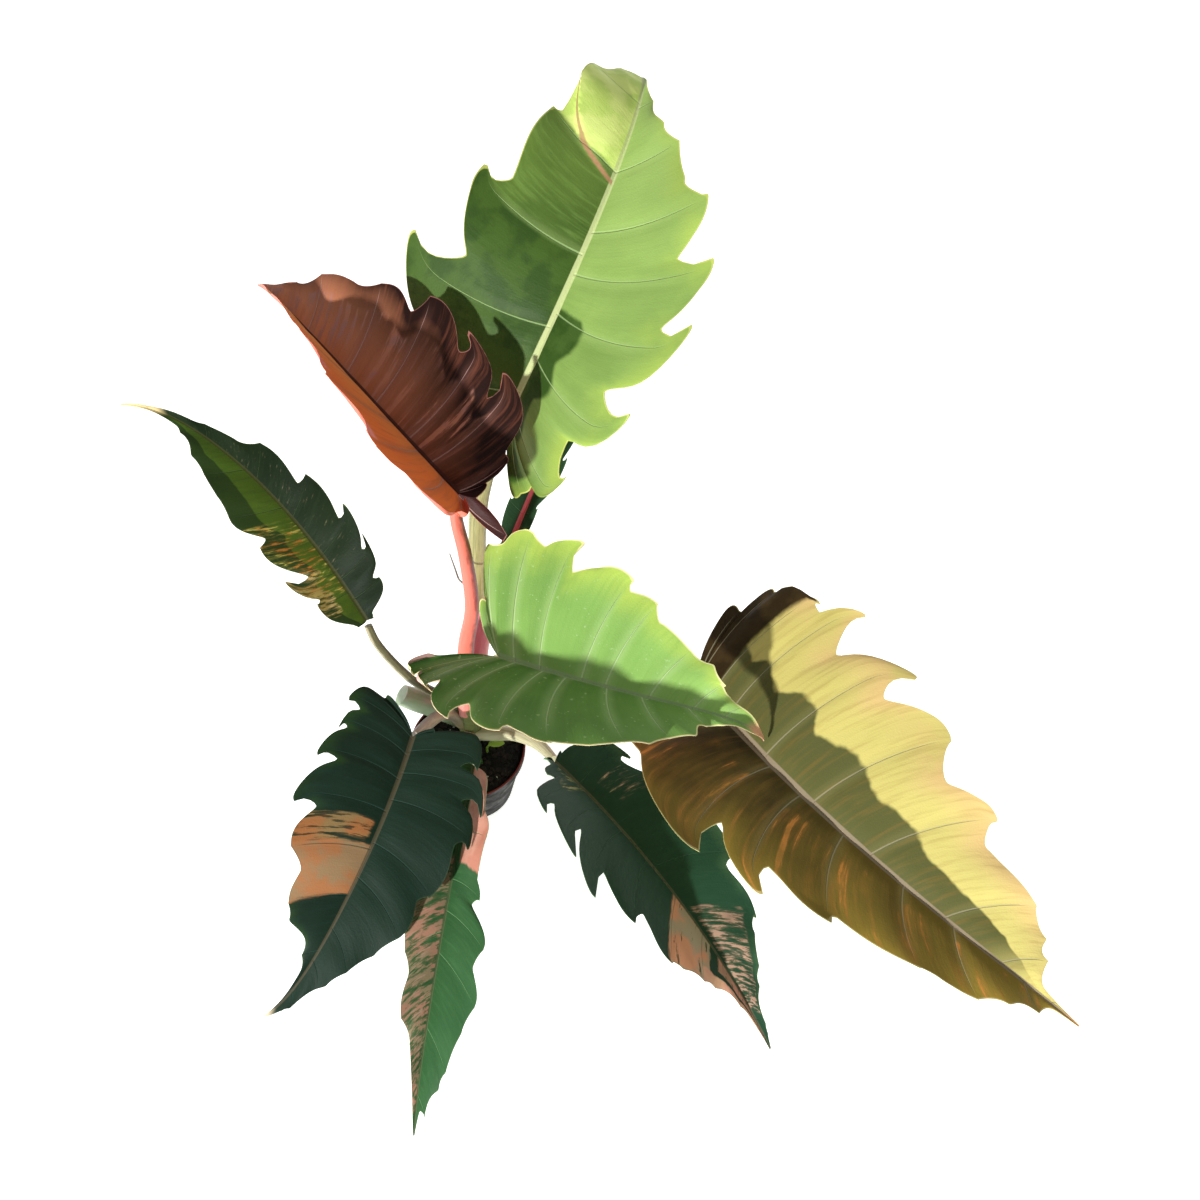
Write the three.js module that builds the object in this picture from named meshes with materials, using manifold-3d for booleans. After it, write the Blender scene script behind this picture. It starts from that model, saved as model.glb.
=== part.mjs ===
// A climbing aroid with toothed, marbled leaves in a round nursery pot.
// Millimetres, +Z up. The origin is the centre of the pot's foot, -Y is the front.
// Every leaf is a thin blade on its own stalk, and all stalks leave one short stem in the soil.

import * as THREE from 'three';
import { mergeVertices } from 'three/addons/utils/BufferGeometryUtils.js';
import Module from 'manifold-3d';

const wasm = await Module();
wasm.setup();

// Driving dimensions.
const POT_HEIGHT = 85;
const POT_TOP_RADIUS = 55;
const POT_FOOT_RADIUS = 39;
const POT_WALL = 1.4;
const RIM_HEIGHT = 11;
const DRAIN_RING = 26;
const SOIL_LEVEL = 76;
const STEM_TOP = 137;
const BLADE_THICKNESS = 0.8;
const MIDRIB_DEPTH = 1;
const CLEARANCE = 0.35;
const POSTURE_STEPS = 48;

const rad = (degrees) => degrees * Math.PI / 180;
const mix = (a, b, s) => a + (b - a) * s;

// How a blade is carried: where its stalk meets it (at), its midrib length, the compass heading and
// pitch of the midrib at the base, how far the pitch falls (bend), the heading swings (sway) and the
// blade rolls (roll, twist) on the way to the tip, how far the very tip droops and swings more, and
// how far each half folds up from the midrib.
// How a blade is cut: side veins leave the midrib, at the base pointing back by the angle lobe, at
// the tip forward by the angle fan, and curve forward by curve. Each tooth is
// [place of its vein from base 0 to tip 1, reach, forward hook, place of the notch past it, reach].
const LEAVES = {
  leaf_top: {
    at: [54, 148, 405], length: 400, pitch: 47, bend: -79, heading: 50, sway: 40, roll: 9,
    twist: -13, foldLeft: 19, foldRight: 23, lobe: 150, fan: 55, tipDroop: 36, tipSway: 20,
    curve: 30, wave: 3, lobeLeft: 80, lobeRight: 58,
    left: [[0.06, 92, 0, 0.15, 82], [0.23, 120, 12, 0.265, 96], [0.346, 134, 23, 0.378, 85],
      [0.472, 101, 13, 0.498, 79], [0.624, 75, 2, 0.634, 67], [0.788, 58, 0, 0.814, 45]],
    right: [[0.07, 78, 0, 0.16, 82], [0.21, 112, 20, 0.255, 86], [0.291, 128, 16, 0.314, 94],
      [0.37, 136, 14, 0.381, 112], [0.438, 124, 6, 0.449, 94], [0.511, 99, 2, 0.546, 73],
      [0.624, 55, 0, 0.668, 36], [0.772, 16, 0, 0.837, 5]],
    color: 0x7f9a3c,
  },
  leaf_new: {
    at: [13, 59, 410], length: 278, pitch: 20, bend: -33, heading: 137, sway: -12, roll: -1,
    twist: -16, foldLeft: 56, foldRight: 29, lobe: 145, fan: 50, tipDroop: 20, tipSway: 0,
    curve: 30, wave: 2, lobeLeft: 25, lobeRight: 52, spur: 50,
    left: [[0.12, 58, 4, 0.14, 57], [0.246, 92, 3, 0.27, 88], [0.329, 99, 5, 0.355, 94],
      [0.426, 89, 2, 0.445, 80], [0.56, 61, 0, 0.575, 57], [0.709, 36, 0, 0.77, 32]],
    right: [[0.004, 51, 0, 0.022, 16], [0.1, 24, 0, 0.21, 48], [0.291, 90, 13, 0.303, 67],
      [0.366, 91, 15, 0.389, 78], [0.481, 97, 2, 0.502, 76], [0.586, 83, 0, 0.639, 68],
      [0.742, 58, 0, 0.816, 32]],
    color: 0x7a3a2a,
  },
  leaf_left: {
    at: [-80, 48, 235], length: 344, pitch: 21, bend: -38, heading: 125, sway: 22, roll: 13,
    twist: 3, foldLeft: 14, foldRight: 18, lobe: 130, fan: 42, tipDroop: 0, tipSway: 20, curve: 20,
    wave: 2, lobeLeft: 3, lobeRight: 3,
    left: [[0.19, 10, 0, 0.2, 11], [0.27, 29, 2, 0.28, 25], [0.32, 41, 10, 0.331, 22],
      [0.417, 42, 0, 0.433, 33], [0.5, 48, 0, 0.551, 43], [0.623, 37, 0, 0.682, 31],
      [0.779, 15, 0, 0.822, 8]],
    right: [[0.189, 7, 0, 0.205, 8], [0.251, 31, 1, 0.259, 26], [0.299, 41, 14, 0.308, 33],
      [0.365, 45, 9, 0.375, 34], [0.468, 40, 1, 0.48, 28], [0.586, 34, 0, 0.647, 20],
      [0.744, 15, 0, 0.795, 10]],
    color: 0x2c4a22,
  },
  leaf_centre: {
    at: [44, -35, 315], length: 232, pitch: 0, bend: -10, heading: -20, sway: 13, roll: 3,
    twist: -2, foldLeft: 17, foldRight: 34, lobe: 150, fan: 55, tipDroop: 60, tipSway: -10,
    curve: 25, wave: 3, lobeLeft: 28, lobeRight: 53,
    left: [[0.1, 48, 0, 0.105, 50], [0.165, 99, 0, 0.2, 97], [0.247, 111, 2, 0.271, 103],
      [0.321, 115, 8, 0.331, 88], [0.441, 94, 3, 0.45, 85], [0.509, 82, 1, 0.541, 65],
      [0.634, 53, 0, 0.688, 46], [0.76, 30, 2, 0.8, 24]],
    right: [[0.095, 84, 4, 0.122, 81], [0.192, 94, 10, 0.21, 79], [0.255, 115, 9, 0.272, 86],
      [0.335, 111, 2, 0.344, 102], [0.4, 104, 3, 0.455, 96], [0.516, 84, 0, 0.56, 76],
      [0.613, 60, 0, 0.67, 53], [0.744, 26, 0, 0.8, 19]],
    color: 0x7fa043,
  },
  leaf_right: {
    at: [208, -25, 250], length: 408, pitch: 13, bend: -28, heading: -60, sway: 27, roll: 0,
    twist: -1, foldLeft: 17, foldRight: 23, lobe: 150, fan: 52, tipDroop: 10, tipSway: 0, curve: 32,
    wave: 3, lobeLeft: 36, lobeRight: 56,
    left: [[0.11, 76, 0, 0.12, 76], [0.185, 106, 0, 0.192, 106], [0.238, 122, 10, 0.26, 117],
      [0.286, 143, 14, 0.32, 102], [0.384, 129, 21, 0.411, 101], [0.494, 118, 3, 0.549, 89],
      [0.613, 97, 4, 0.65, 76], [0.754, 67, 1, 0.81, 53], [0.855, 35, 0, 0.917, 8]],
    right: [[0.2, 92, 2, 0.3, 91], [0.405, 113, 11, 0.416, 79], [0.473, 103, 13, 0.485, 82],
      [0.564, 83, 3, 0.572, 76], [0.68, 69, 1, 0.715, 64], [0.772, 57, 0, 0.825, 42],
      [0.898, 24, 0, 0.95, 5]],
    color: 0x8f8a3c,
  },
  leaf_lower_right: {
    at: [86, -47, 145], length: 317, pitch: -3, bend: -31, heading: -45, sway: -12, roll: 30,
    twist: -29, foldLeft: 12, foldRight: 28, lobe: 145, fan: 50, tipDroop: 10, tipSway: 0,
    curve: 30, wave: 2, lobeLeft: 4, lobeRight: 6,
    left: [[0.165, 14, 0, 0.19, 15], [0.276, 58, 10, 0.288, 51], [0.523, 75, 5, 0.549, 59],
      [0.646, 59, 3, 0.681, 50], [0.763, 36, 0, 0.81, 27], [0.921, 10, 0, 0.95, 7]],
    right: [[0.2, 17, 2, 0.215, 18], [0.241, 39, 1, 0.251, 30], [0.294, 91, 10, 0.303, 71],
      [0.35, 96, 18, 0.357, 63], [0.418, 103, 9, 0.426, 72], [0.503, 80, 3, 0.519, 64],
      [0.605, 66, 2, 0.633, 60], [0.702, 44, 0, 0.74, 34], [0.844, 15, 0, 0.89, 8]],
    color: 0x26402e,
  },
  leaf_lower_left: {
    at: [-42, -29, 160], length: 282, pitch: -13, bend: -19, heading: -105, sway: -24, roll: 19,
    twist: -2, foldLeft: 11, foldRight: 17, lobe: 150, fan: 52, tipDroop: 0, tipSway: -34,
    curve: 30, wave: 2, lobeLeft: 12, lobeRight: 26,
    left: [[0.1, 20, 2, 0.125, 20], [0.24, 63, 11, 0.259, 48], [0.298, 78, 18, 0.317, 58],
      [0.368, 77, 9, 0.39, 66], [0.482, 67, 1, 0.506, 59], [0.574, 62, 0, 0.634, 52],
      [0.711, 39, 0, 0.77, 30], [0.897, 14, 0, 0.927, 9]],
    right: [[0.067, 42, 0, 0.075, 42], [0.206, 68, 6, 0.219, 55], [0.25, 67, 9, 0.26, 60],
      [0.314, 75, 8, 0.323, 58], [0.4, 79, 9, 0.418, 60], [0.5, 68, 0, 0.55, 52],
      [0.623, 51, 0, 0.66, 44], [0.776, 15, 0, 0.83, 6]],
    color: 0x24413c,
  },
  leaf_bottom: {
    at: [9, -32, 107], length: 327, pitch: -1, bend: -16, heading: -98, sway: 1, roll: -22,
    twist: 28, foldLeft: 36, foldRight: 21, lobe: 130, fan: 42, tipDroop: 10, tipSway: 4, curve: 20,
    wave: 2, lobeLeft: 4, lobeRight: 14,
    left: [[0.2, 11, 0, 0.215, 12], [0.272, 34, 0, 0.31, 34], [0.363, 46, 0, 0.441, 42],
      [0.469, 49, 2, 0.488, 39], [0.539, 68, 0, 0.58, 58], [0.63, 69, 0, 0.687, 58],
      [0.785, 44, 0, 0.82, 37], [0.92, 18, 2, 0.935, 8]],
    right: [[0.22, 30, 2, 0.245, 27], [0.38, 36, 3, 0.402, 27], [0.584, 37, 0, 0.636, 30],
      [0.716, 33, 0, 0.785, 20]],
    color: 0x3f6a35,
  },
  leaf_back: {
    at: [44, 82, 285], length: 205, pitch: 20, bend: -30, heading: 68, sway: 0, roll: 0, twist: 0,
    foldLeft: 40, foldRight: 24, lobe: 130, fan: 45, tipDroop: 20, tipSway: 0, curve: 24, wave: 1.5,
    lobeLeft: 5, lobeRight: 6,
    left: [[0.22, 10, 2, 0.235, 8], [0.36, 17, 3, 0.375, 14], [0.52, 26, 5, 0.535, 22],
      [0.7, 24, 2, 0.72, 19]],
    right: [[0.22, 10, 2, 0.235, 8], [0.36, 14, 3, 0.375, 12], [0.52, 24, 5, 0.535, 20],
      [0.7, 24, 2, 0.72, 19]],
    color: 0x294726,
  },
};

// How late on the midrib the pitch falls, and how late the very tip droops and swings.
const BEND_POWER = 1.3;
const TIP_CURL_POWER = 9;

// The rail of a blade: midrib points with their forward, sideways and upward directions.
function railOf(leaf) {
  const rail = [];
  const point = new THREE.Vector3(...leaf.at);
  const forwardAt = (u) => {
    const curl = Math.pow(u, TIP_CURL_POWER);
    const pitch = rad(leaf.pitch + leaf.bend * Math.pow(u, BEND_POWER) - leaf.tipDroop * curl);
    const heading = rad(leaf.heading + leaf.sway * u + leaf.tipSway * curl);
    return new THREE.Vector3(
      Math.cos(pitch) * Math.cos(heading),
      Math.cos(pitch) * Math.sin(heading),
      Math.sin(pitch),
    );
  };
  for (let i = 0; i <= POSTURE_STEPS; i += 1) {
    const u = i / POSTURE_STEPS;
    const forward = forwardAt(u);
    const curl = Math.pow(u, TIP_CURL_POWER);
    const heading = rad(leaf.heading + leaf.sway * u + leaf.tipSway * curl);
    const flat = new THREE.Vector3(Math.sin(heading), -Math.cos(heading), 0);
    const above = new THREE.Vector3().crossVectors(flat, forward);
    const roll = rad(leaf.roll + leaf.twist * u);
    const side = flat.clone().multiplyScalar(Math.cos(roll)).addScaledVector(above, Math.sin(roll));
    const up = above.clone().multiplyScalar(Math.cos(roll)).addScaledVector(flat, -Math.sin(roll));
    rail.push({ point: point.clone(), forward, side, up });
    point.addScaledVector(forwardAt((i + 0.5) / POSTURE_STEPS), leaf.length / POSTURE_STEPS);
  }
  return rail;
}

function railAt(leaf, rail, along) {
  const place = THREE.MathUtils.clamp(along / leaf.length, 0, 1) * POSTURE_STEPS;
  const i = Math.min(Math.floor(place), POSTURE_STEPS - 1);
  const s = place - i;
  const a = rail[i];
  const b = rail[i + 1];
  const forward = a.forward.clone().lerp(b.forward, s).normalize();
  const over = along - THREE.MathUtils.clamp(along, 0, leaf.length);
  return {
    point: a.point.clone().lerp(b.point, s).addScaledVector(forward, over),
    side: a.side.clone().lerp(b.side, s).normalize(),
    up: a.up.clone().lerp(b.up, s).normalize(),
  };
}

// The lobes of the margin: how much each bulges for its reach, on which span of veins that bulge
// is full, how round the bay before it is, how fast the margin swells out of the bay and drops
// back into the next one, and how it narrows to the reach at the tip.
const BELLY = 0.06;
const BELLY_SPAN = 0.083;
const BAY_ROUND = 0.12;
const SWELL_POWER = 2.4;
const DROP_POWER = 1.5;
const TIP_POWER = 0.85;
const TIP_REACH = 1.2;

// The margin where the vein at place q ends: how far that vein reaches, how far forward the tip
// of its tooth is pulled, and from which reach (root) to which (crown) the pull grows.
function marginAt(start, teeth, q) {
  let lastQ = 0;
  let lastReach = start;
  for (const [toothQ, toothReach, hook, notchQ, notchReach] of teeth) {
    const root = Math.min(Math.max(lastReach, notchReach), toothReach - 1);
    if (q <= toothQ) {
      const s = (q - lastQ) / (toothQ - lastQ);
      const eased = s * s * (1 + BAY_ROUND) / (s + BAY_ROUND);
      const swell = mix(lastReach, toothReach, 1 - Math.pow(1 - eased, SWELL_POWER));
      const room = Math.min(1, (toothQ - lastQ) / BELLY_SPAN);
      const reach = swell + BELLY * toothReach * Math.sin(Math.PI * eased) * room;
      return { reach, hook, root, crown: toothReach };
    }
    if (q <= notchQ) {
      const s = 1 - (q - toothQ) / (notchQ - toothQ);
      const reach = mix(notchReach, toothReach, Math.pow(s, DROP_POWER));
      return { reach, hook, root, crown: toothReach };
    }
    lastQ = notchQ;
    lastReach = notchReach;
  }
  const s = (q - lastQ) / (1 - lastQ);
  return { reach: mix(lastReach, TIP_REACH, Math.pow(s, TIP_POWER)), hook: 0, root: 0, crown: 1 };
}

// The veins: up to which place they all leave the base, how fast they turn forward, how far the
// spur turns the first ones further back, and how the pull on a tooth grows to its limit.
const VEINS_FROM_BASE = 0.2;
const FAN_POWER = 1.6;
const SPUR_END = 0.08;
const PULL_POWER = 3;
const PULL_LIMIT = 1.15;

// A point of the blade, from its vein place q and its share t of that vein, on side +1 or -1.
function flatPoint(leaf, q, t, sideSign) {
  const start = sideSign > 0 ? leaf.lobeRight : leaf.lobeLeft;
  const teeth = sideSign > 0 ? leaf.right : leaf.left;
  const { reach, hook, root, crown } = marginAt(start, teeth, q);
  const origin = leaf.length * Math.max(0, (q - VEINS_FROM_BASE) / (1 - VEINS_FROM_BASE));
  const spur = sideSign > 0 && leaf.spur ? leaf.spur * Math.pow(Math.max(0, 1 - q / SPUR_END), 2) : 0;
  const angle = rad(leaf.fan + (leaf.lobe - leaf.fan) * Math.pow(1 - q, FAN_POWER) + spur);
  const curve = rad(leaf.curve) / 2 * t;
  const past = THREE.MathUtils.clamp((reach * t - root) / (crown - root), 0, PULL_LIMIT);
  const pull = hook * Math.pow(past, PULL_POWER);
  return {
    along: origin + reach * t * (Math.cos(angle) + curve * Math.sin(angle)) + pull,
    across: reach * t * (Math.sin(angle) - curve * Math.cos(angle)),
  };
}

// The waves along each margin, the share of the veins before the tip where they fade, and the cup
// of each half, which droops with the square of the distance from the midrib.
const WAVE_TURNS = 38;
const WAVE_FADE = 0.2;
const CUP = 0.0005;
function bladePoint(leaf, rail, q, t, sideSign, drop) {
  const { along, across } = flatPoint(leaf, q, t, sideSign);
  const frame = railAt(leaf, rail, along);
  const fold = rad(sideSign > 0 ? leaf.foldRight : leaf.foldLeft);
  const swing = Math.sin(q * WAVE_TURNS + sideSign) * Math.min(1, (1 - q) / WAVE_FADE);
  const rise = across * Math.sin(fold) - CUP * across * across + leaf.wave * t * t * swing - drop;
  return frame.point
    .addScaledVector(frame.side, sideSign * across * Math.cos(fold))
    .addScaledVector(frame.up, rise);
}

// The veins that one half of a blade is drawn with: closer together where its margin turns.
function veinPlaces(teeth) {
  const places = [0];
  let last = 0;
  for (const [toothQ, , , notchQ] of teeth) {
    const room = toothQ - last;
    const rising = room > 0.1 ? [0.12, 0.36, 0.68] : room > 0.045 ? [0.16, 0.52] : [0.4];
    for (const s of rising) {
      places.push(mix(last, toothQ, s));
    }
    places.push(toothQ, mix(toothQ, notchQ, 0.5), notchQ);
    last = notchQ;
  }
  places.push(mix(last, 1, 0.35), mix(last, 1, 0.75), 1);
  return places;
}

// One closed blade. The midrib is a row of points, and each half is a grid of veins by shares of
// a vein, joined to it. Both faces are split into the same triangles.
const RIB_STEPS = 18;
const VEIN_SHARES = [0.42, 0.78, 0.9, 1];
function bladeGeometry(leaf) {
  const rail = railOf(leaf);
  const positions = [];
  const flats = [];
  const index = [];
  const addPoint = (q, t, sideSign) => {
    const rib = t === 0 ? MIDRIB_DEPTH * (1 - q * 0.8) : 0;
    for (const drop of [0, BLADE_THICKNESS + rib]) {
      const p = bladePoint(leaf, rail, q, t, sideSign, drop);
      positions.push(p.x, p.y, p.z);
      const f = flatPoint(leaf, q, t, sideSign);
      flats.push([f.along, sideSign * f.across]);
    }
    return positions.length / 3 - 2;
  };
  const area = (a, b, c) => {
    const [ax, ay] = flats[a];
    const [bx, by] = flats[b];
    const [cx, cy] = flats[c];
    return (bx - ax) * (cy - ay) - (by - ay) * (cx - ax);
  };
  // Each point's number is its upper one, and the next number is the point under it.
  const addTriangle = (a, b, c, sideSign) => {
    const [p, q, r] = sideSign > 0 ? [a, b, c] : [a, c, b];
    index.push(p, r, q, p + 1, q + 1, r + 1);
  };
  const addWall = (a, b) => {
    index.push(a, b + 1, b, a, a + 1, b + 1);
  };

  const ribPlaces = [];
  for (let i = 0; i <= RIB_STEPS; i += 1) {
    ribPlaces.push(mix(VEINS_FROM_BASE, 1, i / RIB_STEPS));
  }
  const rib = ribPlaces.map((q) => addPoint(q, 0, 1));
  for (const sideSign of [-1, 1]) {
    const places = veinPlaces(sideSign > 0 ? leaf.right : leaf.left);
    const veins = places.map((q) => VEIN_SHARES.map((t) => addPoint(q, t, sideSign)));
    let i = 0;
    let j = 0;
    while (i < RIB_STEPS || j + 1 < places.length) {
      const nextRib = i < RIB_STEPS ? ribPlaces[i + 1] : 2;
      const nextVein = j + 1 < places.length ? places[j + 1] : 2;
      if (nextVein <= nextRib) {
        addTriangle(rib[i], veins[j + 1][0], veins[j][0], sideSign);
        j += 1;
      } else {
        addTriangle(rib[i], rib[i + 1], veins[j][0], sideSign);
        i += 1;
      }
    }
    const last = VEIN_SHARES.length - 1;
    for (let k = 0; k + 1 < veins.length; k += 1) {
      for (let row = 0; row < last; row += 1) {
        const a = veins[k][row];
        const b = veins[k + 1][row];
        const c = veins[k + 1][row + 1];
        const d = veins[k][row + 1];
        const first = Math.min(sideSign * area(a, b, c), sideSign * area(a, c, d));
        const second = Math.min(sideSign * area(a, b, d), sideSign * area(b, c, d));
        if (first >= second) {
          addTriangle(a, b, c, sideSign);
          addTriangle(a, c, d, sideSign);
        } else {
          addTriangle(a, b, d, sideSign);
          addTriangle(b, c, d, sideSign);
        }
      }
    }
    const base = [rib[0], ...veins[0]];
    const edge = veins.slice(1).map((vein) => vein[last]);
    const tip = [...veins[veins.length - 1].slice(0, last).reverse(), rib[RIB_STEPS]];
    const rim = [...base, ...edge, ...tip];
    for (let k = 0; k + 1 < rim.length; k += 1) {
      if (sideSign > 0) {
        addWall(rim[k], rim[k + 1]);
      } else {
        addWall(rim[k + 1], rim[k]);
      }
    }
  }
  const geometry = new THREE.BufferGeometry();
  geometry.setAttribute('position', new THREE.Float32BufferAttribute(positions, 3));
  geometry.setIndex(index);
  return geometry;
}

// Stalks and other round pieces. Each is laid along a smooth curve through its path points.
// The radii run from foot to end, and flat is how deep the section is for its width.
const STALKS = {
  leaf_top_stalk: {
    path: [[6, 32, 117], [10, 46, 146], [14, 61, 180], [17, 77, 236], [24, 113, 332], [46, 140, 393]],
    radii: [7, 7.2, 7.2, 7.6, 8, 6], flat: 0.85, color: 0xb9b36a,
  },
  leaf_new_stalk: {
    path: [[1, 12, 127], [3, 20, 170], [8, 28, 225], [17, 32, 283], [15, 45, 343],
      [11, 52, 385], [12, 55, 399]],
    radii: [6.5, 7.4, 7.4, 6.4, 6, 5.6, 5], flat: 0.85, color: 0xc4695a,
  },
  leaf_left_stalk: {
    path: [[-4, 24, 117], [-17, 28, 127], [-30, 30, 136], [-49, 28, 168], [-73, 37, 214], [-79, 45, 230]],
    radii: [5, 4.8, 4.5, 4.2, 4, 3.6], flat: 0.85, color: 0x6b6a3a,
  },
  leaf_centre_stalk: {
    path: [[14, 9, 119], [21, 3, 155], [28, -8, 220], [38, -24, 285], [42, -33, 307]],
    radii: [6, 6, 5.5, 5, 4.5], flat: 0.85, color: 0x9aa060,
  },
  leaf_right_stalk: {
    path: [[16, 20, 107], [40, 18, 145], [90, 10, 199], [150, -5, 235], [203, -22, 244]],
    radii: [7, 6.5, 6, 5.5, 5], flat: 0.85, color: 0x9a9a5a,
  },
  leaf_lower_right_stalk: {
    path: [[12, 8, 93], [26, 4, 101], [46, -2, 112], [68, -19, 127], [84, -41, 139]],
    radii: [8, 8.5, 7.5, 6, 4.2], flat: 0.8, color: 0xa9a77f,
  },
  leaf_lower_left_stalk: {
    path: [[-3, 12, 103], [-12, 11, 125], [-24, 0, 142], [-40, -26, 155]],
    radii: [5.6, 5.8, 6.2, 5.6], flat: 0.85, color: 0x8d8470,
  },
  leaf_bottom_stalk: {
    path: [[6, 6, 87], [8, -8, 95], [9, -20, 101], [10, -29, 103]],
    radii: [4, 3.6, 3.4, 3], flat: 0.85, color: 0xc9bf9a,
  },
  leaf_back_stalk: {
    path: [[14, 25, 125], [13, 34, 155], [16, 43, 187], [28, 59, 240], [37, 73, 265], [43, 80, 281]],
    radii: [7, 8.5, 8.5, 7.5, 6.5, 5], flat: 0.6, color: 0xd05a5a,
  },
  short_sheath: {
    path: [[3, 4, 103], [1, -3, 103], [-2, -7, 101], [-7, -9, 96]],
    radii: [5, 6, 4.5, 1], flat: 0.3, sides: 6, steps: 6, color: 0xcf5f58,
  },
  trimmed_stub: {
    path: [[-6, 24, 92], [-28, 28, 110], [-46, 28, 123], [-59, 28, 133]],
    radii: [9.5, 12, 12.5, 11], flat: 0.8, sides: 10, steps: 6, color: 0x8fa07a,
  },
  aerial_root: {
    path: [[9, 50, 292], [5, 57, 287], [1, 69, 285], [-4, 82, 289]],
    radii: [1, 0.9, 0.8, 0.6], sides: 6, steps: 6, color: 0x8b8378,
  },
};

function materialOf(color, roughness) {
  return new THREE.MeshStandardMaterial({ color, roughness, metalness: 0 });
}

function solidOf(geometry) {
  const bare = geometry.clone();
  bare.deleteAttribute('normal');
  bare.deleteAttribute('uv');
  const merged = mergeVertices(bare, 1e-4);
  return new wasm.Manifold(new wasm.Mesh({
    numProp: 3,
    vertProperties: new Float32Array(merged.attributes.position.array),
    triVerts: new Uint32Array(merged.index.array),
  }));
}

// The largest body of a solid, so that no loose scrap stays after a cut.
function geometryOf(solid) {
  const bodies = solid.decompose();
  bodies.sort((a, b) => b.volume() - a.volume());
  const { vertProperties, triVerts } = bodies[0].getMesh();
  const geometry = new THREE.BufferGeometry();
  geometry.setAttribute('position', new THREE.Float32BufferAttribute(vertProperties, 3));
  geometry.setIndex(Array.from(triVerts));
  return geometry;
}

function radiusAt(radii, u) {
  const place = Math.min(u, 0.99999) * (radii.length - 1);
  const i = Math.floor(place);
  return mix(radii[i], radii[i + 1], place - i);
}

// A stalk is a cylinder laid along its curve. Grown, it is the room that it needs in a neighbour.
function stalkGeometry(stalk, grow) {
  const { sides = 8, steps = 12, flat = 1 } = stalk;
  const curve = new THREE.CatmullRomCurve3(stalk.path.map((p) => new THREE.Vector3(...p)));
  const geometry = new THREE.CylinderGeometry(1, 1, 1, sides, steps);
  geometry.deleteAttribute('normal');
  geometry.deleteAttribute('uv');
  const laid = mergeVertices(geometry, 1e-4);
  const { position } = laid.attributes;
  const v = new THREE.Vector3();
  for (let i = 0; i < position.count; i += 1) {
    v.fromBufferAttribute(position, i);
    const u = THREE.MathUtils.clamp(v.y + 0.5, 0, 1);
    const centre = curve.getPointAt(u);
    const tangent = curve.getTangentAt(u);
    const wide = new THREE.Vector3(1, 0.2, 0);
    wide.addScaledVector(tangent, -wide.dot(tangent)).normalize();
    const deep = wide.clone().cross(tangent);
    const radius = radiusAt(stalk.radii, u);
    centre.addScaledVector(wide, v.x * (radius + grow));
    centre.addScaledVector(deep, v.z * (radius * flat + grow));
    if (u < 0.001 || u > 0.999) {
      centre.addScaledVector(tangent, u < 0.5 ? -grow : grow);
    }
    position.setXYZ(i, centre.x, centre.y, centre.z);
  }
  return laid;
}

// The pot: a tapered thin wall with an upright band at the rim and a flat foot with drain holes.
function potGeometry() {
  const underBand = POT_HEIGHT - RIM_HEIGHT;
  const profile = [
    [0, 0],
    [POT_FOOT_RADIUS - 1.5, 0],
    [POT_FOOT_RADIUS, 1.5],
    [POT_TOP_RADIUS - 3, underBand],
    [POT_TOP_RADIUS - 0.6, underBand + 0.4],
    [POT_TOP_RADIUS, POT_HEIGHT - 1],
    [POT_TOP_RADIUS - 0.4, POT_HEIGHT],
    [POT_TOP_RADIUS - POT_WALL, POT_HEIGHT],
    [POT_TOP_RADIUS - POT_WALL - 0.6, underBand + 2],
    [POT_TOP_RADIUS - POT_WALL - 3, underBand - 2],
    [POT_FOOT_RADIUS - POT_WALL - 0.6, 2.4],
    [0, 2.4],
  ];
  const points = profile.map(([x, y]) => new THREE.Vector2(x, y));
  const turned = new THREE.LatheGeometry(points, 36).rotateX(Math.PI / 2);
  let solid = solidOf(turned);
  for (let i = 0; i < 6; i += 1) {
    const angle = i * Math.PI / 3;
    const hole = new THREE.CylinderGeometry(4, 4, 10, 10).rotateX(Math.PI / 2);
    hole.translate(DRAIN_RING * Math.cos(angle), DRAIN_RING * Math.sin(angle), 0);
    solid = solid.subtract(solidOf(hole));
  }
  return geometryOf(solid);
}

// The soil fills the pot to just under the rim. Its top is lumpy, highest round the stem.
function soilGeometry() {
  const wallAt = (z) => mix(
    POT_FOOT_RADIUS - POT_WALL - 0.6,
    POT_TOP_RADIUS - POT_WALL - 3,
    (z - 2.4) / (POT_HEIGHT - RIM_HEIGHT - 4.4),
  ) - CLEARANCE * 1.6;
  const profile = [
    [0, 2.4 + CLEARANCE],
    [wallAt(2.8), 2.4 + CLEARANCE],
    [wallAt(71), 71],
    [wallAt(71) - 0.3, SOIL_LEVEL - 2],
    [44, SOIL_LEVEL],
    [34, SOIL_LEVEL],
    [24, SOIL_LEVEL],
    [12, SOIL_LEVEL + 2],
    [0, SOIL_LEVEL + 3],
  ];
  const points = profile.map(([x, y]) => new THREE.Vector2(x, y));
  const turned = new THREE.LatheGeometry(points, 22).rotateX(Math.PI / 2);
  const { position } = turned.attributes;
  for (let i = 0; i < position.count; i += 1) {
    const x = position.getX(i);
    const y = position.getY(i);
    const z = position.getZ(i);
    if (z > SOIL_LEVEL - 1) {
      const lumps = 1.3 * Math.sin(x * 0.31) * Math.cos(y * 0.27) + 0.8 * Math.sin(x * 0.13 + y * 0.4);
      position.setZ(i, z + lumps);
    }
  }
  return turned;
}

// The stem: short and thick, with the rings that fallen leaves left.
const STEM = {
  path: [[3, 15, 30], [4, 17, 75], [5, 18, 105], [6, 19, STEM_TOP]],
  radii: [11, 12, 13, 13.5, 12.6, 13.5, 12.6, 13, 11.5],
  sides: 12,
  steps: 10,
};

const sproutRooms = [];

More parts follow.
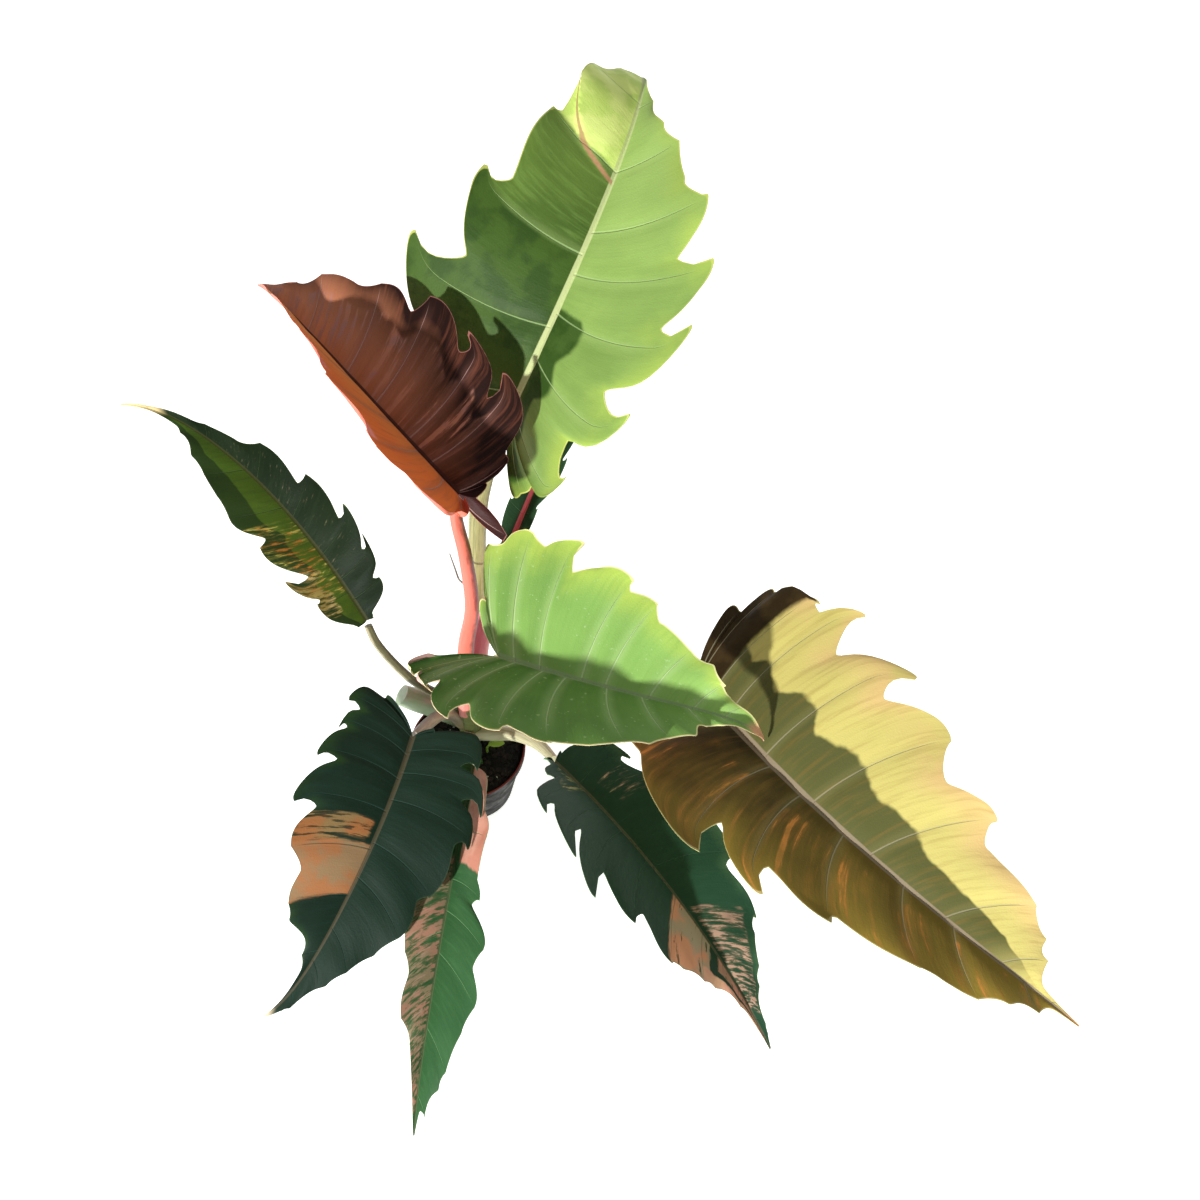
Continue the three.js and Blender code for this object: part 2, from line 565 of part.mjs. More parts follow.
// A sprout: a small pointed leaf on a short stalk that stands in the soil.
function sproutGeometry(at, length, width, heading, pitch) {
  const leafPart = new THREE.SphereGeometry(1, 12, 8);
  leafPart.scale(length / 2, width / 2, 0.8);
  leafPart.rotateY(-rad(pitch)).rotateZ(rad(heading));
  leafPart.translate(...at);
  const reach = -0.42 * length;
  const back = new THREE.Vector3(reach * Math.cos(rad(heading)), reach * Math.sin(rad(heading)), -2);
  const path = [
    [at[0] + back.x * 1.4, at[1] + back.y * 1.4, SOIL_LEVEL - 6],
    [at[0] + back.x * 1.4, at[1] + back.y * 1.4, SOIL_LEVEL + 8],
    [at[0] + back.x * 0.7, at[1] + back.y * 0.7, at[2] - 0.5],
  ];
  const stalkPart = stalkGeometry({ path, radii: [1.3, 1.3, 1], sides: 6, steps: 6 }, 0);
  sproutRooms.push(path.slice(0, 2));
  return geometryOf(solidOf(leafPart).add(solidOf(stalkPart)));
}

// Dried strips: two curled ribbons that cling together at the foot of the stem.
function driedGeometry() {
  const first = stalkGeometry({
    path: [[-15, 8, 81], [-14, 4, 85], [-9, 0, 90], [-3, -4, 90]],
    radii: [2.6, 3, 2.4, 0.8], flat: 0.3, sides: 6, steps: 8,
  }, 0);
  const second = stalkGeometry({
    path: [[-15, 10, 81], [-17, 3, 84], [-15, -3, 88], [-10, -7, 89]],
    radii: [2.4, 2.6, 2, 0.8], flat: 0.3, sides: 6, steps: 8,
  }, 0);
  return geometryOf(solidOf(first).add(solidOf(second)));
}

const group = new THREE.Group();
function addPiece(name, geometry, color, roughness) {
  const mesh = new THREE.Mesh(geometry, materialOf(color, roughness));
  mesh.name = name;
  group.add(mesh);
}

addPiece('pot', potGeometry(), 0x2a1512, 0.5);

for (const [name, leaf] of Object.entries(LEAVES)) {
  addPiece(`${name}_blade`, bladeGeometry(leaf), leaf.color, 0.45);
}

for (const [name, stalk] of Object.entries(STALKS)) {
  addPiece(name, stalkGeometry(stalk, 0), stalk.color, 0.5);
}

let stem = solidOf(stalkGeometry(STEM, 0));
for (const stalk of Object.values(STALKS)) {
  stem = stem.subtract(solidOf(stalkGeometry(stalk, CLEARANCE)));
}
addPiece('stem', geometryOf(stem), 0x5f6b3a, 0.6);

const dried = driedGeometry();
addPiece('dried_strips', dried, 0xb8935a, 0.7);
const lightSprout = sproutGeometry([28, -3, 95], 16, 9, -5, 12);
addPiece('light_sprout', lightSprout, 0x9bbf4a, 0.45);
const darkSprout = sproutGeometry([3, -14, 89], 17, 9, 175, 8);
addPiece('dark_sprout', darkSprout, 0x3f6a2f, 0.45);

let soil = solidOf(soilGeometry()).subtract(solidOf(stalkGeometry(STEM, CLEARANCE)));
for (const path of sproutRooms) {
  soil = soil.subtract(solidOf(stalkGeometry({ path, radii: [1.5, 1.5], sides: 6, steps: 1 }, CLEARANCE)));
}
addPiece('soil', geometryOf(soil), 0x1a1512, 0.95);

export default group;
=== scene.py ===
# A young climbing aroid in a round nursery pot. Nine toothed, marbled leaves stand out on long
# stalks from one short stem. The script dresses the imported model, in metres, in the same frame.
import math
import random

import bmesh
import bpy
from mathutils import Matrix, Vector, noise


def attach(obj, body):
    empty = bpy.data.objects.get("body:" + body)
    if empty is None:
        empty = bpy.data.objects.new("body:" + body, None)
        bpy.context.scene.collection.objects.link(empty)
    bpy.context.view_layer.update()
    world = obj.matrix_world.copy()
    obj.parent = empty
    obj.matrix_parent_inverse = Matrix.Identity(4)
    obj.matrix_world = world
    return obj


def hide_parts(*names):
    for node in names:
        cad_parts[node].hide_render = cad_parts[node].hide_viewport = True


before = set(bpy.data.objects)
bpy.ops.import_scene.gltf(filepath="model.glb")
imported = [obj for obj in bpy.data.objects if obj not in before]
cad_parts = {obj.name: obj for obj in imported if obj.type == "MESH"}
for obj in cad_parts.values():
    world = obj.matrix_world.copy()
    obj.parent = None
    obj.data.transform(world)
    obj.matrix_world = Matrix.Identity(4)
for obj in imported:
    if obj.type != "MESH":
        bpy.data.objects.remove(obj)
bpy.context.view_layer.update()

MM = 0.001

# The viewpoint: the photograph looks down on the plant at 58 degrees from in front of it and
# a little to the right, from 1.4 m off, with a lens of 45 mm on a 36 mm wide square picture.
scene = bpy.context.scene


def in_scene(name, data):
    """A new object of the scene with the given mesh, lamp or camera."""
    thing = bpy.data.objects.new(name, data)
    scene.collection.objects.link(thing)
    return thing


view = bpy.data.cameras.new("viewpoint")
view.lens = 45
view.sensor_width = 36
view.clip_end = 20
viewpoint = in_scene("viewpoint", view)
viewpoint.location = (0.1256, -0.6369, 1.3638)
viewpoint.rotation_euler = (math.radians(32), 0, 0)
scene.camera = viewpoint

# The studio: a plain white floor that shines a little, as a light table does, an even white
# surround, and one low lamp in front and to the left, so that the folded leaves shade their own
# midribs and each other. A broad weak lamp fills from the right.
floor_mesh = bpy.data.meshes.new("floor")
floor_sheet = bmesh.new()
bmesh.ops.create_grid(floor_sheet, x_segments=1, y_segments=1, size=6)
floor_sheet.to_mesh(floor_mesh)
floor_sheet.free()
floor = in_scene("floor", floor_mesh)
floor_paint = bpy.data.materials.new("floor")
floor_paint.use_nodes = True
floor_plugs = floor_paint.node_tree.nodes["Principled BSDF"].inputs
floor_plugs["Base Color"].default_value = (0.86, 0.86, 0.86, 1)
floor_plugs["Roughness"].default_value = 0.9
floor_plugs["Emission Color"].default_value = (1, 1, 1, 1)
floor_plugs["Emission Strength"].default_value = 0.8
floor_mesh.materials.append(floor_paint)

surround = bpy.data.worlds.new("surround")
surround.use_nodes = True
surround_plugs = surround.node_tree.nodes["Background"].inputs
surround_plugs["Color"].default_value = (1, 1, 1, 1)
surround_plugs["Strength"].default_value = 0.34
scene.world = surround
scene.view_settings.view_transform = "Standard"


def hang_lamp(name, place, aim, size, power):
    lamp = bpy.data.lights.new(name, "AREA")
    lamp.shape = "DISK"
    lamp.size = size
    lamp.energy = power
    hung = in_scene(name, lamp)
    hung.location = place
    hung.rotation_euler = (Vector(aim) - Vector(place)).to_track_quat("-Z", "Y").to_euler()


hang_lamp("key_lamp", (-1.45, -2.2, 1.7), (0.1, 0, 0.35), 0.15, 155)
hang_lamp("fill_lamp", (1.5, 0.8, 2.2), (0.1, 0, 0.3), 1.6, 6)


# The pot: a thin tapered nursery pot, moulded in dark brown plastic, with a plain band under
# the rim, a thin maroon lip and six drain holes in its flat foot.
POT_HEIGHT = 85
POT_RIM_RADIUS = 55
POT_FOOT_RADIUS = 39
POT_WALL = 1.4
POT_FLOOR = 2.4
BAND_HEIGHT = 11
LIP_FROM = 83.5
LIP_TO = 84.7
DRAIN_RING = 26
DRAIN_RADIUS = 4


def tone(code):
    """A colour for a shader from its six-digit screen code."""
    screen = [(code >> shift & 255) / 255 for shift in (16, 8, 0)]
    return [c / 12.92 if c <= 0.04045 else ((c + 0.055) / 1.055) ** 2.4 for c in screen] + [1]


def feed(tree, plug, term):
    if isinstance(term, bpy.types.NodeSocket):
        tree.links.new(term, plug)
    elif isinstance(term, int) and plug.type == "RGBA":
        plug.default_value = tone(term)
    else:
        plug.default_value = term


def put(tree, kind, outlet=0, plugs=(), **settings):
    """Adds a node, sets it, feeds its named or numbered plugs and returns one outlet."""
    node = tree.nodes.new("ShaderNode" + kind)
    for name, value in settings.items():
        setattr(node, name, value)
    for name, term in dict(plugs).items():
        feed(tree, node.inputs[name], term)
    return node.outputs[outlet]


def calc(tree, operation, *terms):
    return put(tree, "Math", 0, enumerate(terms), operation=operation)


def times(tree, one, other):
    return calc(tree, "MULTIPLY", one, other)


def step(tree, value, low, high):
    """0 below low, 1 above high, smooth between. low may be the larger, for the reverse."""
    if low > high:
        return calc(tree, "SUBTRACT", 1, step(tree, value, high, low))
    plugs = {"Value": value, "From Min": low, "From Max": high}
    return put(tree, "MapRange", 0, plugs, interpolation_type="SMOOTHSTEP")


def mixed(tree, share, one, other):
    return put(tree, "Mix", 2, {0: share, 6: one, 7: other}, data_type="RGBA")


def cloud(tree, where, scale, detail=3, rough=0.55):
    plugs = {"Vector": where, "Scale": scale, "Detail": detail, "Roughness": rough}
    return put(tree, "TexNoise", 0, plugs)


def in_place(tree):
    return put(tree, "TexCoord", 3)


def new_finish(name, **constants):
    """A material whose constants sit on its own shader. Returns it, its tree and shader."""
    finish = bpy.data.materials.new(name)
    finish.use_nodes = True
    shader = finish.node_tree.nodes["Principled BSDF"]
    for plug, value in constants.items():
        shader.inputs[plug.replace("_", " ")].default_value = value
    return finish, finish.node_tree, shader


def relief(tree, shader, height, depth):
    """Feeds a height, in units of depth metres, to the shader's normal."""
    plugs = {"Height": height, "Strength": 1, "Distance": depth}
    tree.links.new(put(tree, "Bump", 0, plugs), shader.inputs["Normal"])


def keep(name, shape, finish, replaced=(), sharp=None):
    """Makes a finished bmesh a piece of the object that rides with it."""
    mesh = bpy.data.meshes.new(name)
    shape.to_mesh(mesh)
    shape.free()
    mesh.materials.append(finish)
    mesh.shade_smooth()
    if sharp:
        mesh.set_sharp_from_angle(angle=math.radians(sharp))
    piece = in_scene(name, mesh)
    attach(piece, "root")
    if replaced:
        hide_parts(*replaced)
    return piece


def turn_profile(profile, steps):
    """A shape turned about the pot's axis from points (radius, height) in millimetres."""
    shape = bmesh.new()
    corners = [shape.verts.new((x * MM, 0, z * MM)) for x, z in profile]
    line = [shape.edges.new(pair) for pair in zip(corners, corners[1:])]
    bmesh.ops.spin(
        shape, geom=corners + line, cent=(0, 0, 0), axis=(0, 0, 1), dvec=(0, 0, 0),
        angle=math.tau, steps=steps, use_merge=True,
    )
    bmesh.ops.remove_doubles(shape, verts=shape.verts, dist=1e-6)
    return shape


under_band = POT_HEIGHT - BAND_HEIGHT
inner = POT_RIM_RADIUS - POT_WALL
pot_profile = [
    (0, 0), (POT_FOOT_RADIUS - 4, 0), (POT_FOOT_RADIUS - 1.2, 0),
    (POT_FOOT_RADIUS - 0.3, 0.5), (POT_FOOT_RADIUS, 1.6),
    (POT_RIM_RADIUS - 3.2, under_band - 0.6), (POT_RIM_RADIUS - 2.6, under_band + 0.1),
    (POT_RIM_RADIUS - 1, under_band + 0.4), (POT_RIM_RADIUS - 0.6, under_band + 1),
    (POT_RIM_RADIUS - 0.2, POT_HEIGHT - 2), (POT_RIM_RADIUS, POT_HEIGHT - 1.2),
    (POT_RIM_RADIUS - 0.1, POT_HEIGHT - 0.4), (POT_RIM_RADIUS - 0.7, POT_HEIGHT),
    (inner - 0.1, POT_HEIGHT - 0.1), (inner - 0.4, POT_HEIGHT - 0.8),
    (inner - 0.7, under_band + 2), (inner - 3, under_band - 2),
    (POT_FOOT_RADIUS - POT_WALL - 0.6, POT_FLOOR), (0, POT_FLOOR),
]
pot = turn_profile(pot_profile, 96)
bmesh.ops.recalc_face_normals(pot, faces=pot.faces)

pot_finish, tree, shader = new_finish("pot_plastic", Roughness=0.42, IOR=1.48, Specular_IOR_Level=0.2)
height_up = put(tree, "SeparateXYZ", 2, {0: in_place(tree)})
scuffs = cloud(tree, in_place(tree), 60, 6, 0.6)
body_tone = mixed(tree, step(tree, scuffs, 0.45, 0.75), 0x110A09, 0x1E1310)
lip = step(tree, height_up, LIP_FROM * MM, LIP_TO * MM)
tree.links.new(mixed(tree, lip, body_tone, 0x6E2A26), shader.inputs["Base Color"])
tree.links.new(step(tree, scuffs, 1.1, 0.1), shader.inputs["Roughness"])
relief(tree, shader, cloud(tree, in_place(tree), 400, 2), 0.0002)
pot_piece = keep("nursery_pot", pot, pot_finish, ["pot"], sharp=40)

drill = bmesh.new()
for hole in range(6):
    turn = Matrix.Rotation(hole * math.pi / 3, 4, "Z") @ Matrix.Translation((DRAIN_RING * MM, 0, 0))
    bmesh.ops.create_cone(
        drill, cap_ends=True, segments=24, radius1=DRAIN_RADIUS * MM, radius2=DRAIN_RADIUS * MM,
        depth=12 * MM, matrix=turn,
    )
drill_mesh = bpy.data.meshes.new("drill")
drill.to_mesh(drill_mesh)
drill.free()
drill_piece = in_scene("drill", drill_mesh)
cut = pot_piece.modifiers.new("drain_holes", "BOOLEAN")
cut.object = drill_piece
cut.operation = "DIFFERENCE"
cut.solver = "EXACT"
bpy.context.view_layer.update()
drained = bpy.data.meshes.new_from_object(pot_piece.evaluated_get(bpy.context.evaluated_depsgraph_get()))
pot_piece.modifiers.clear()
pot_piece.data = drained
bpy.data.objects.remove(drill_piece)


# The soil: a black bark and fibre mix that fills the pot to just under the rim and rises a
# little round the stem. Chips of bark and white perlite lie in it, and some moss.
SOIL_LEVEL = 76
SOIL_FLOOR = 2.8
SOIL_FOOT_RADIUS = 36
soil_radius = inner - 3.5
soil_profile = [(0, SOIL_FLOOR), (SOIL_FOOT_RADIUS, SOIL_FLOOR),
                (soil_radius, SOIL_LEVEL - 5), (soil_radius - 0.3, SOIL_LEVEL - 2)]
soil_profile += [(soil_radius - k * soil_radius / 40, SOIL_LEVEL) for k in range(1, 40)]
soil_profile.append((0, SOIL_LEVEL + 2))
soil = turn_profile(soil_profile, 140)


def soil_top(x, y):
    """Height of the lumpy soil at a place, all in millimetres."""
    rise = 3 * math.exp(-((x - 4) ** 2 + (y - 17) ** 2) / 500)
    lumps = 1.6 * noise.noise((x * 0.09, y * 0.09, 0.5)) + 1.1 * noise.noise((x * 0.3, y * 0.3, 4))
    return SOIL_LEVEL + rise + lumps + 0.6 * noise.noise((x * 0.8, y * 0.8, 9))


for v in soil.verts:
    if v.co.z > (SOIL_LEVEL - 1) * MM:
        v.co.z = soil_top(v.co.x / MM, v.co.y / MM) * MM
bmesh.ops.recalc_face_normals(soil, faces=soil.faces)

soil_finish, tree, shader = new_finish("soil_mix", Roughness=0.95)
crumbs = cloud(tree, in_place(tree), 260, 8, 0.7)
wet = mixed(tree, step(tree, crumbs, 0.4, 0.7), 0x040303, 0x110B08)
tree.links.new(wet, shader.inputs["Base Color"])
relief(tree, shader, crumbs, 0.002)
keep("potting_mix", soil, soil_finish, ["soil"])


def scatter(name, count, finish, spread, size, flat, sink, seed):
    """Many small crumbs of one kind, part sunk in the soil, as one piece."""
    draw = random.Random(seed)
    crumb_bed = bmesh.new()
    for _ in range(count):
        angle = draw.uniform(0, math.tau)
        far = spread * math.sqrt(draw.random())
        x, y = far * math.cos(angle), far * math.sin(angle)
        long = size * draw.uniform(0.5, 1.3)
        stretch = Matrix.Diagonal((long, long * draw.uniform(0.45, 0.8), long * flat, 1))
        turn = Matrix.Rotation(draw.uniform(0, math.tau), 4, "Z")
        tilt = Matrix.Rotation(draw.uniform(-0.6, 0.6), 4, "X")
        lie = Matrix.Translation(Vector((x, y, soil_top(x, y) + long * flat * sink)) * MM)
        made = bmesh.ops.create_icosphere(crumb_bed, subdivisions=1, radius=0.5 * MM)
        for v in made["verts"]:
            v.co *= draw.uniform(0.75, 1.2)
        bmesh.ops.transform(crumb_bed, matrix=lie @ turn @ tilt @ stretch, verts=made["verts"])
    return keep(name, crumb_bed, finish, sharp=30)


bark_finish, tree, shader = new_finish("bark", Roughness=0.85)
grain = cloud(tree, in_place(tree), 180, 5, 0.6)
patch = cloud(tree, in_place(tree), 40, 1)
bark_tone = mixed(tree, step(tree, patch, 0.35, 0.65), 0x090504, 0x22160F)
tree.links.new(mixed(tree, step(tree, grain, 0.5, 0.8), bark_tone, 0x35241A), shader.inputs["Base Color"])
relief(tree, shader, grain, 0.0006)
scatter("bark_chips", 420, bark_finish, 46, 6.5, 0.45, 0.1, 11)

perlite_finish, tree, shader = new_finish("perlite", Roughness=0.9)
pits = cloud(tree, in_place(tree), 500, 4)
tree.links.new(mixed(tree, pits, 0x8F8A80, 0xD8D4CA), shader.inputs["Base Color"])
relief(tree, shader, pits, 0.0004)
scatter("perlite_grains", 26, perlite_finish, 45, 3, 0.8, 0.1, 12)


# The stem and the leaf stalks: fleshy green rods, round to D-shaped, with fine grooves along
# them. All stalks clasp one short stem. Each is drawn along a smooth curve through its points.
def along_path(path, share):
    """Place and direction on the smooth curve through a path, at a share of its length."""
    points = [Vector(p) for p in path]
    points = [points[0] * 2 - points[1]] + points + [points[-1] * 2 - points[-2]]
    samples = []
    for i in range(1, len(points) - 2):
        p0, p1, p2, p3 = points[i - 1:i + 3]
        d0, d1, d2 = ((b - a).length ** 0.5 for a, b in ((p0, p1), (p1, p2), (p2, p3)))
        out = ((p1 - p0) / d0 - (p2 - p0) / (d0 + d1) + (p2 - p1) / d1) * d1
        into = ((p2 - p1) / d1 - (p3 - p1) / (d1 + d2) + (p3 - p2) / d2) * d1
        for k in range(16):
            s = k / 16
            bend = (2 * p1 - 2 * p2 + out + into) * s ** 3
            samples.append(bend + (3 * p2 - 3 * p1 - 2 * out - into) * s * s + out * s + p1)
    samples.append(points[-2])
    spans = [(b - a).length for a, b in zip(samples, samples[1:])]
    left = min(max(share, 0), 1) * sum(spans)
    for a, b, span in zip(samples, samples[1:], spans):
        if left <= span + 1e-9:
            return a.lerp(b, left / span), (b - a).normalized()
        left -= span


def lay_rod(path, radii, flat=1, sides=28, rings=64, swell=None):
    """A closed rod along a path. It keeps its straight shape as the attribute 'straight'."""
    rod = bmesh.new()
    straight = rod.verts.layers.float_vector.new("straight")
    bmesh.ops.create_cone(rod, cap_ends=True, segments=sides, radius1=1, radius2=1, depth=1)
    uprights = [e for e in rod.edges if abs(e.verts[0].co.z - e.verts[1].co.z) > 0.5]
    bmesh.ops.subdivide_edges(rod, edges=uprights, cuts=rings, use_grid_fill=True)
    laid = {}
    for v in rod.verts:
        share = round(v.co.z + 0.5, 5)
        if share not in laid:
            place, ahead = along_path(path, share)
            wide = Vector((1, 0.2, 0))
            wide = (wide - ahead * wide.dot(ahead)).normalized()
            laid[share] = place, wide, wide.cross(ahead)
        place, wide, deep = laid[share]
        spot = min(share, 0.99999) * (len(radii) - 1)
        radius = radii[int(spot)] + (radii[int(spot) + 1] - radii[int(spot)]) * (spot % 1)
        angle = math.atan2(v.co.y, v.co.x)
        if swell:
            radius += swell(share, angle)
        length = sum((Vector(b) - Vector(a)).length for a, b in zip(path, path[1:]))
        v[straight] = Vector((v.co.x, v.co.y, share * length / 10))
        v.co = (place + wide * v.co.x * radius + deep * v.co.y * radius * flat) * MM
    bmesh.ops.recalc_face_normals(rod, faces=rod.faces)
    return rod


def own_shape(tree, name):
    return put(tree, "Attribute", 1, attribute_name=name)


def stretched(tree, where, x, y, z):
    return put(tree, "VectorMath", 0, {0: where, 1: (x, y, z)}, operation="MULTIPLY")


def sockets(group, kind, **names):
    for way, text in names.items():
        for name in text.split(", "):
            group.interface.new_socket(name, in_out=way, socket_type="NodeSocket" + kind)
    return group


def group_ends(group):
    return group.nodes.new("NodeGroupInput").outputs, group.nodes.new("NodeGroupOutput").inputs


def parts_of(tree, name):
    split = tree.nodes.new("ShaderNodeSeparateXYZ")
    tree.links.new(own_shape(tree, name), split.inputs[0])
    return split.outputs


def use_group(tree, group, **terms):
    node = tree.nodes.new("ShaderNodeGroup")
    node.node_tree = group
    for name, term in terms.items():
        feed(tree, node.inputs[name.replace("_", " ")], term)
    return node.outputs


fibres = bpy.data.node_groups.new("fibres", "ShaderNodeTree")
sockets(fibres, "Color", INPUT="Skin, Groove, Blush, Foot", OUTPUT="Color")
sockets(fibres, "Float", INPUT="Grooves, Blush side, Foot from, Foot to", OUTPUT="Height")
given, made = group_ends(fibres)
rod_place = own_shape(fibres, "straight")
rod_x, _, rod_up = parts_of(fibres, "straight")
threads = cloud(fibres, stretched(fibres, rod_place, 3.2, 3.2, 0.16), 1.6, 5, 0.6)
mottle = cloud(fibres, stretched(fibres, rod_place, 1, 1, 0.6), 1.2, 4)
skin = mixed(fibres, times(fibres, step(fibres, threads, 0.48, 0.68), given["Grooves"]),
             given["Skin"], given["Groove"])
flush = step(fibres, calc(fibres, "MULTIPLY_ADD", rod_x, given["Blush side"], mottle), 0.55, 1.1)
skin = mixed(fibres, flush, skin, given["Blush"])
near_foot = put(fibres, "MapRange", 0, {
    "Value": rod_up, "From Min": given["Foot from"], "From Max": given["Foot to"]},
    interpolation_type="SMOOTHSTEP")
skin = mixed(fibres, calc(fibres, "SUBTRACT", 1, near_foot), skin, given["Foot"])
fibres.links.new(skin, made["Color"])
grooved = calc(fibres, "ADD", times(fibres, threads, given["Grooves"]), mottle)
fibres.links.new(grooved, made["Height"])


def stalk_finish(name, skin_tone, groove_tone, blush_tone, foot_tone, grooves, side, foot):
    """A fleshy skin with fine grooves, a flush on one side and another tone near its foot."""
    finish, tree, shader = new_finish(name, Roughness=0.42)
    grown = use_group(tree, fibres, Skin=skin_tone, Groove=groove_tone, Blush=blush_tone,
                      Foot=foot_tone, Grooves=grooves, Blush_side=side,
                      Foot_from=foot[0], Foot_to=foot[1])
    tree.links.new(grown["Color"], shader.inputs["Base Color"])
    relief(tree, shader, grown["Height"], 0.0008)
    return finish


# Each stalk has its path in millimetres, its radii from foot to blade, the depth of its section
# for its width, its tones (skin, groove, blush, foot), and how strong the grooves are, which side
# blushes, and between which heights along the stalk, in centimetres, the tone of the foot fades.
STALKS = {
    "leaf_top": (
        [(6, 32, 117), (10, 46, 146), (14, 61, 180), (17, 77, 236), (24, 113, 332), (46, 140, 393)],
        (7, 7.2, 7.2, 7.6, 8, 6), 0.85,
        (0x948F5C, 0x5E6436, 0xA49B6E, 0x5A222A), (0.8, 0.5, (2, 4.5))),
    "leaf_new": (
        [(1, 12, 127), (3, 20, 170), (8, 28, 225), (17, 32, 283), (15, 45, 343),
         (11, 52, 385), (12, 55, 399)],
        (6.5, 7.4, 7.4, 6.4, 6, 5.6, 5), 0.85,
        (0xD26A58, 0xBC5444, 0x7E332E, 0xD88478), (0.3, 0.7, (3, 9))),
    "leaf_left": (
        [(-4, 24, 117), (-17, 28, 127), (-30, 30, 136), (-49, 28, 168), (-73, 37, 214), (-79, 45, 230)],
        (5, 4.8, 4.5, 4.2, 4, 3.6), 0.85,
        (0x55522F, 0x3A3A1E, 0x9A9274, 0x55522F), (0.7, -0.9, (0, 1))),
    "leaf_centre": (
        [(14, 9, 119), (21, 3, 155), (28, -8, 220), (38, -24, 285), (42, -33, 307)],
        (6, 6, 5.5, 5, 4.5), 0.85,
        (0xA9A878, 0x80865A, 0xC6A79A, 0xB9908A), (0.7, 0.4, (1, 4))),
    "leaf_right": (
        [(16, 20, 107), (40, 18, 145), (90, 10, 199), (150, -5, 235), (203, -22, 244)],
        (7, 6.5, 6, 5.5, 5), 0.85,
        (0xA59E68, 0x7C7A48, 0xBFA98A, 0x8E8C58), (0.7, 0.4, (1, 4))),
    "leaf_lower_right": (
        [(12, 8, 93), (26, 4, 101), (46, -2, 112), (68, -19, 127), (84, -41, 139)],
        (8, 8.5, 7.5, 6, 4.2), 0.8,
        (0xB4AD8C, 0x7F8A5E, 0xDDB8AC, 0xC8C5A0), (0.7, 0.5, (1, 3.5))),
    "leaf_lower_left": (
        [(-3, 12, 103), (-12, 11, 125), (-24, 0, 142), (-40, -26, 155)],
        (5.6, 5.8, 6.2, 5.6), 0.85,
        (0x85786A, 0x5E5648, 0xB0A48E, 0x8A8060), (0.7, 0.5, (0.5, 2))),
    "leaf_bottom": (
        [(6, 6, 87), (8, -8, 95), (9, -20, 101), (10, -29, 103)],
        (4, 3.6, 3.4, 3), 0.85,
        (0xCFC6A4, 0x9C9A74, 0xE0BBA8, 0xBDB48E), (0.7, 0.4, (0.3, 1))),
    "leaf_back": (
        [(14, 25, 125), (13, 34, 155), (16, 43, 187), (28, 59, 240), (37, 73, 265), (43, 80, 281)],
        (7, 8.5, 8.5, 7.5, 6.5, 5), 0.6,
        (0xC8606A, 0xB84450, 0xD88A84, 0xB86A64), (0.4, 0.5, (2, 6))),
}


def ridges(share, angle):
    return 0.12 * math.cos(7 * angle) + 0.1 * math.sin(11 * angle)


def scars(share, angle):
    """Seven shallow rings round the stem, where old leaves stood."""
    return -0.5 * math.exp(-((share * 7 % 1 - 0.5) / 0.12) ** 2)


for name, (path, radii, flat, tones, (grooves, side, foot)) in STALKS.items():
    finish = stalk_finish(name + "_stalk_skin", *tones, grooves, side, foot)
    rod = lay_rod(path, radii, flat, swell=ridges)
    keep(name + "_stalk_skin", rod, finish, [name + "_stalk"], sharp=60)

stem_path = [(3, 15, 30), (4, 17, 75), (5, 18, 105), (6, 19, 137)]
stem_radii = (11, 12, 13, 13.5, 12.6, 13.5, 12.6, 13, 11.5)
stem_rod = lay_rod(stem_path, [r - 0.2 for r in stem_radii], sides=36, rings=80, swell=scars)
stem_finish = stalk_finish("stem_skin", 0x6E7A45, 0x4C5730, 0x8E8A62, 0x4A3A2A, 0.8, 0.5, (4.5, 6))
keep("stem_skin", stem_rod, stem_finish, ["stem"], sharp=60)


# The blades: thin, leathery leaves, each grown flat and then folded, arched and waved. Side veins
# leave the midrib for the teeth of the margin. The tissue puffs up between them.
# Lengths are in millimetres and angles in degrees. A tooth is (place of its vein from base 0 to
# tip 1, reach, forward hook, place of the notch past it, reach).
BLADE_THICKNESS = 0.6
VEINS_FROM_BASE = 0.2
FAN_POWER = 1.6
SPUR_END = 0.08
BELLY = 0.06
BELLY_SPAN = 0.083
BAY_ROUND = 0.12
SWELL_POWER = 2.4
DROP_POWER = 1.5
TIP_POWER = 0.85
TIP_REACH = 1.2
PULL_POWER = 3
PULL_LIMIT = 1.15
POSTURE_STEPS = 48
BEND_POWER = 1.3
TIP_CURL_POWER = 9
WAVE_RATE = 38
WAVE_FADE = 5
CUP = 0.0005
WIDEST_VEIN_GAP = 0.17
WIDEST_TIP_GAP = 0.13
TIP_VEIN_STEP = 0.09
COLUMN_STEP = 0.0045
RIB_RIDGE = 1.6
VEIN_RIDGE = 0.5
RIB_GROOVE = 0.7
SHARES = (0, 0.02, 0.045, 0.08, 0.13, 0.19, 0.26, 0.34, 0.42, 0.5, 0.57, 0.64, 0.7, 0.76, 0.81, 0.86,
          0.9, 0.935, 0.965, 0.985, 1)


def mix(a, b, s):
    return a + (b - a) * s


def near(distance, width):
    """1 at no distance, falling smoothly to nothing within about two widths."""
    return math.exp(-(distance / width) ** 2)


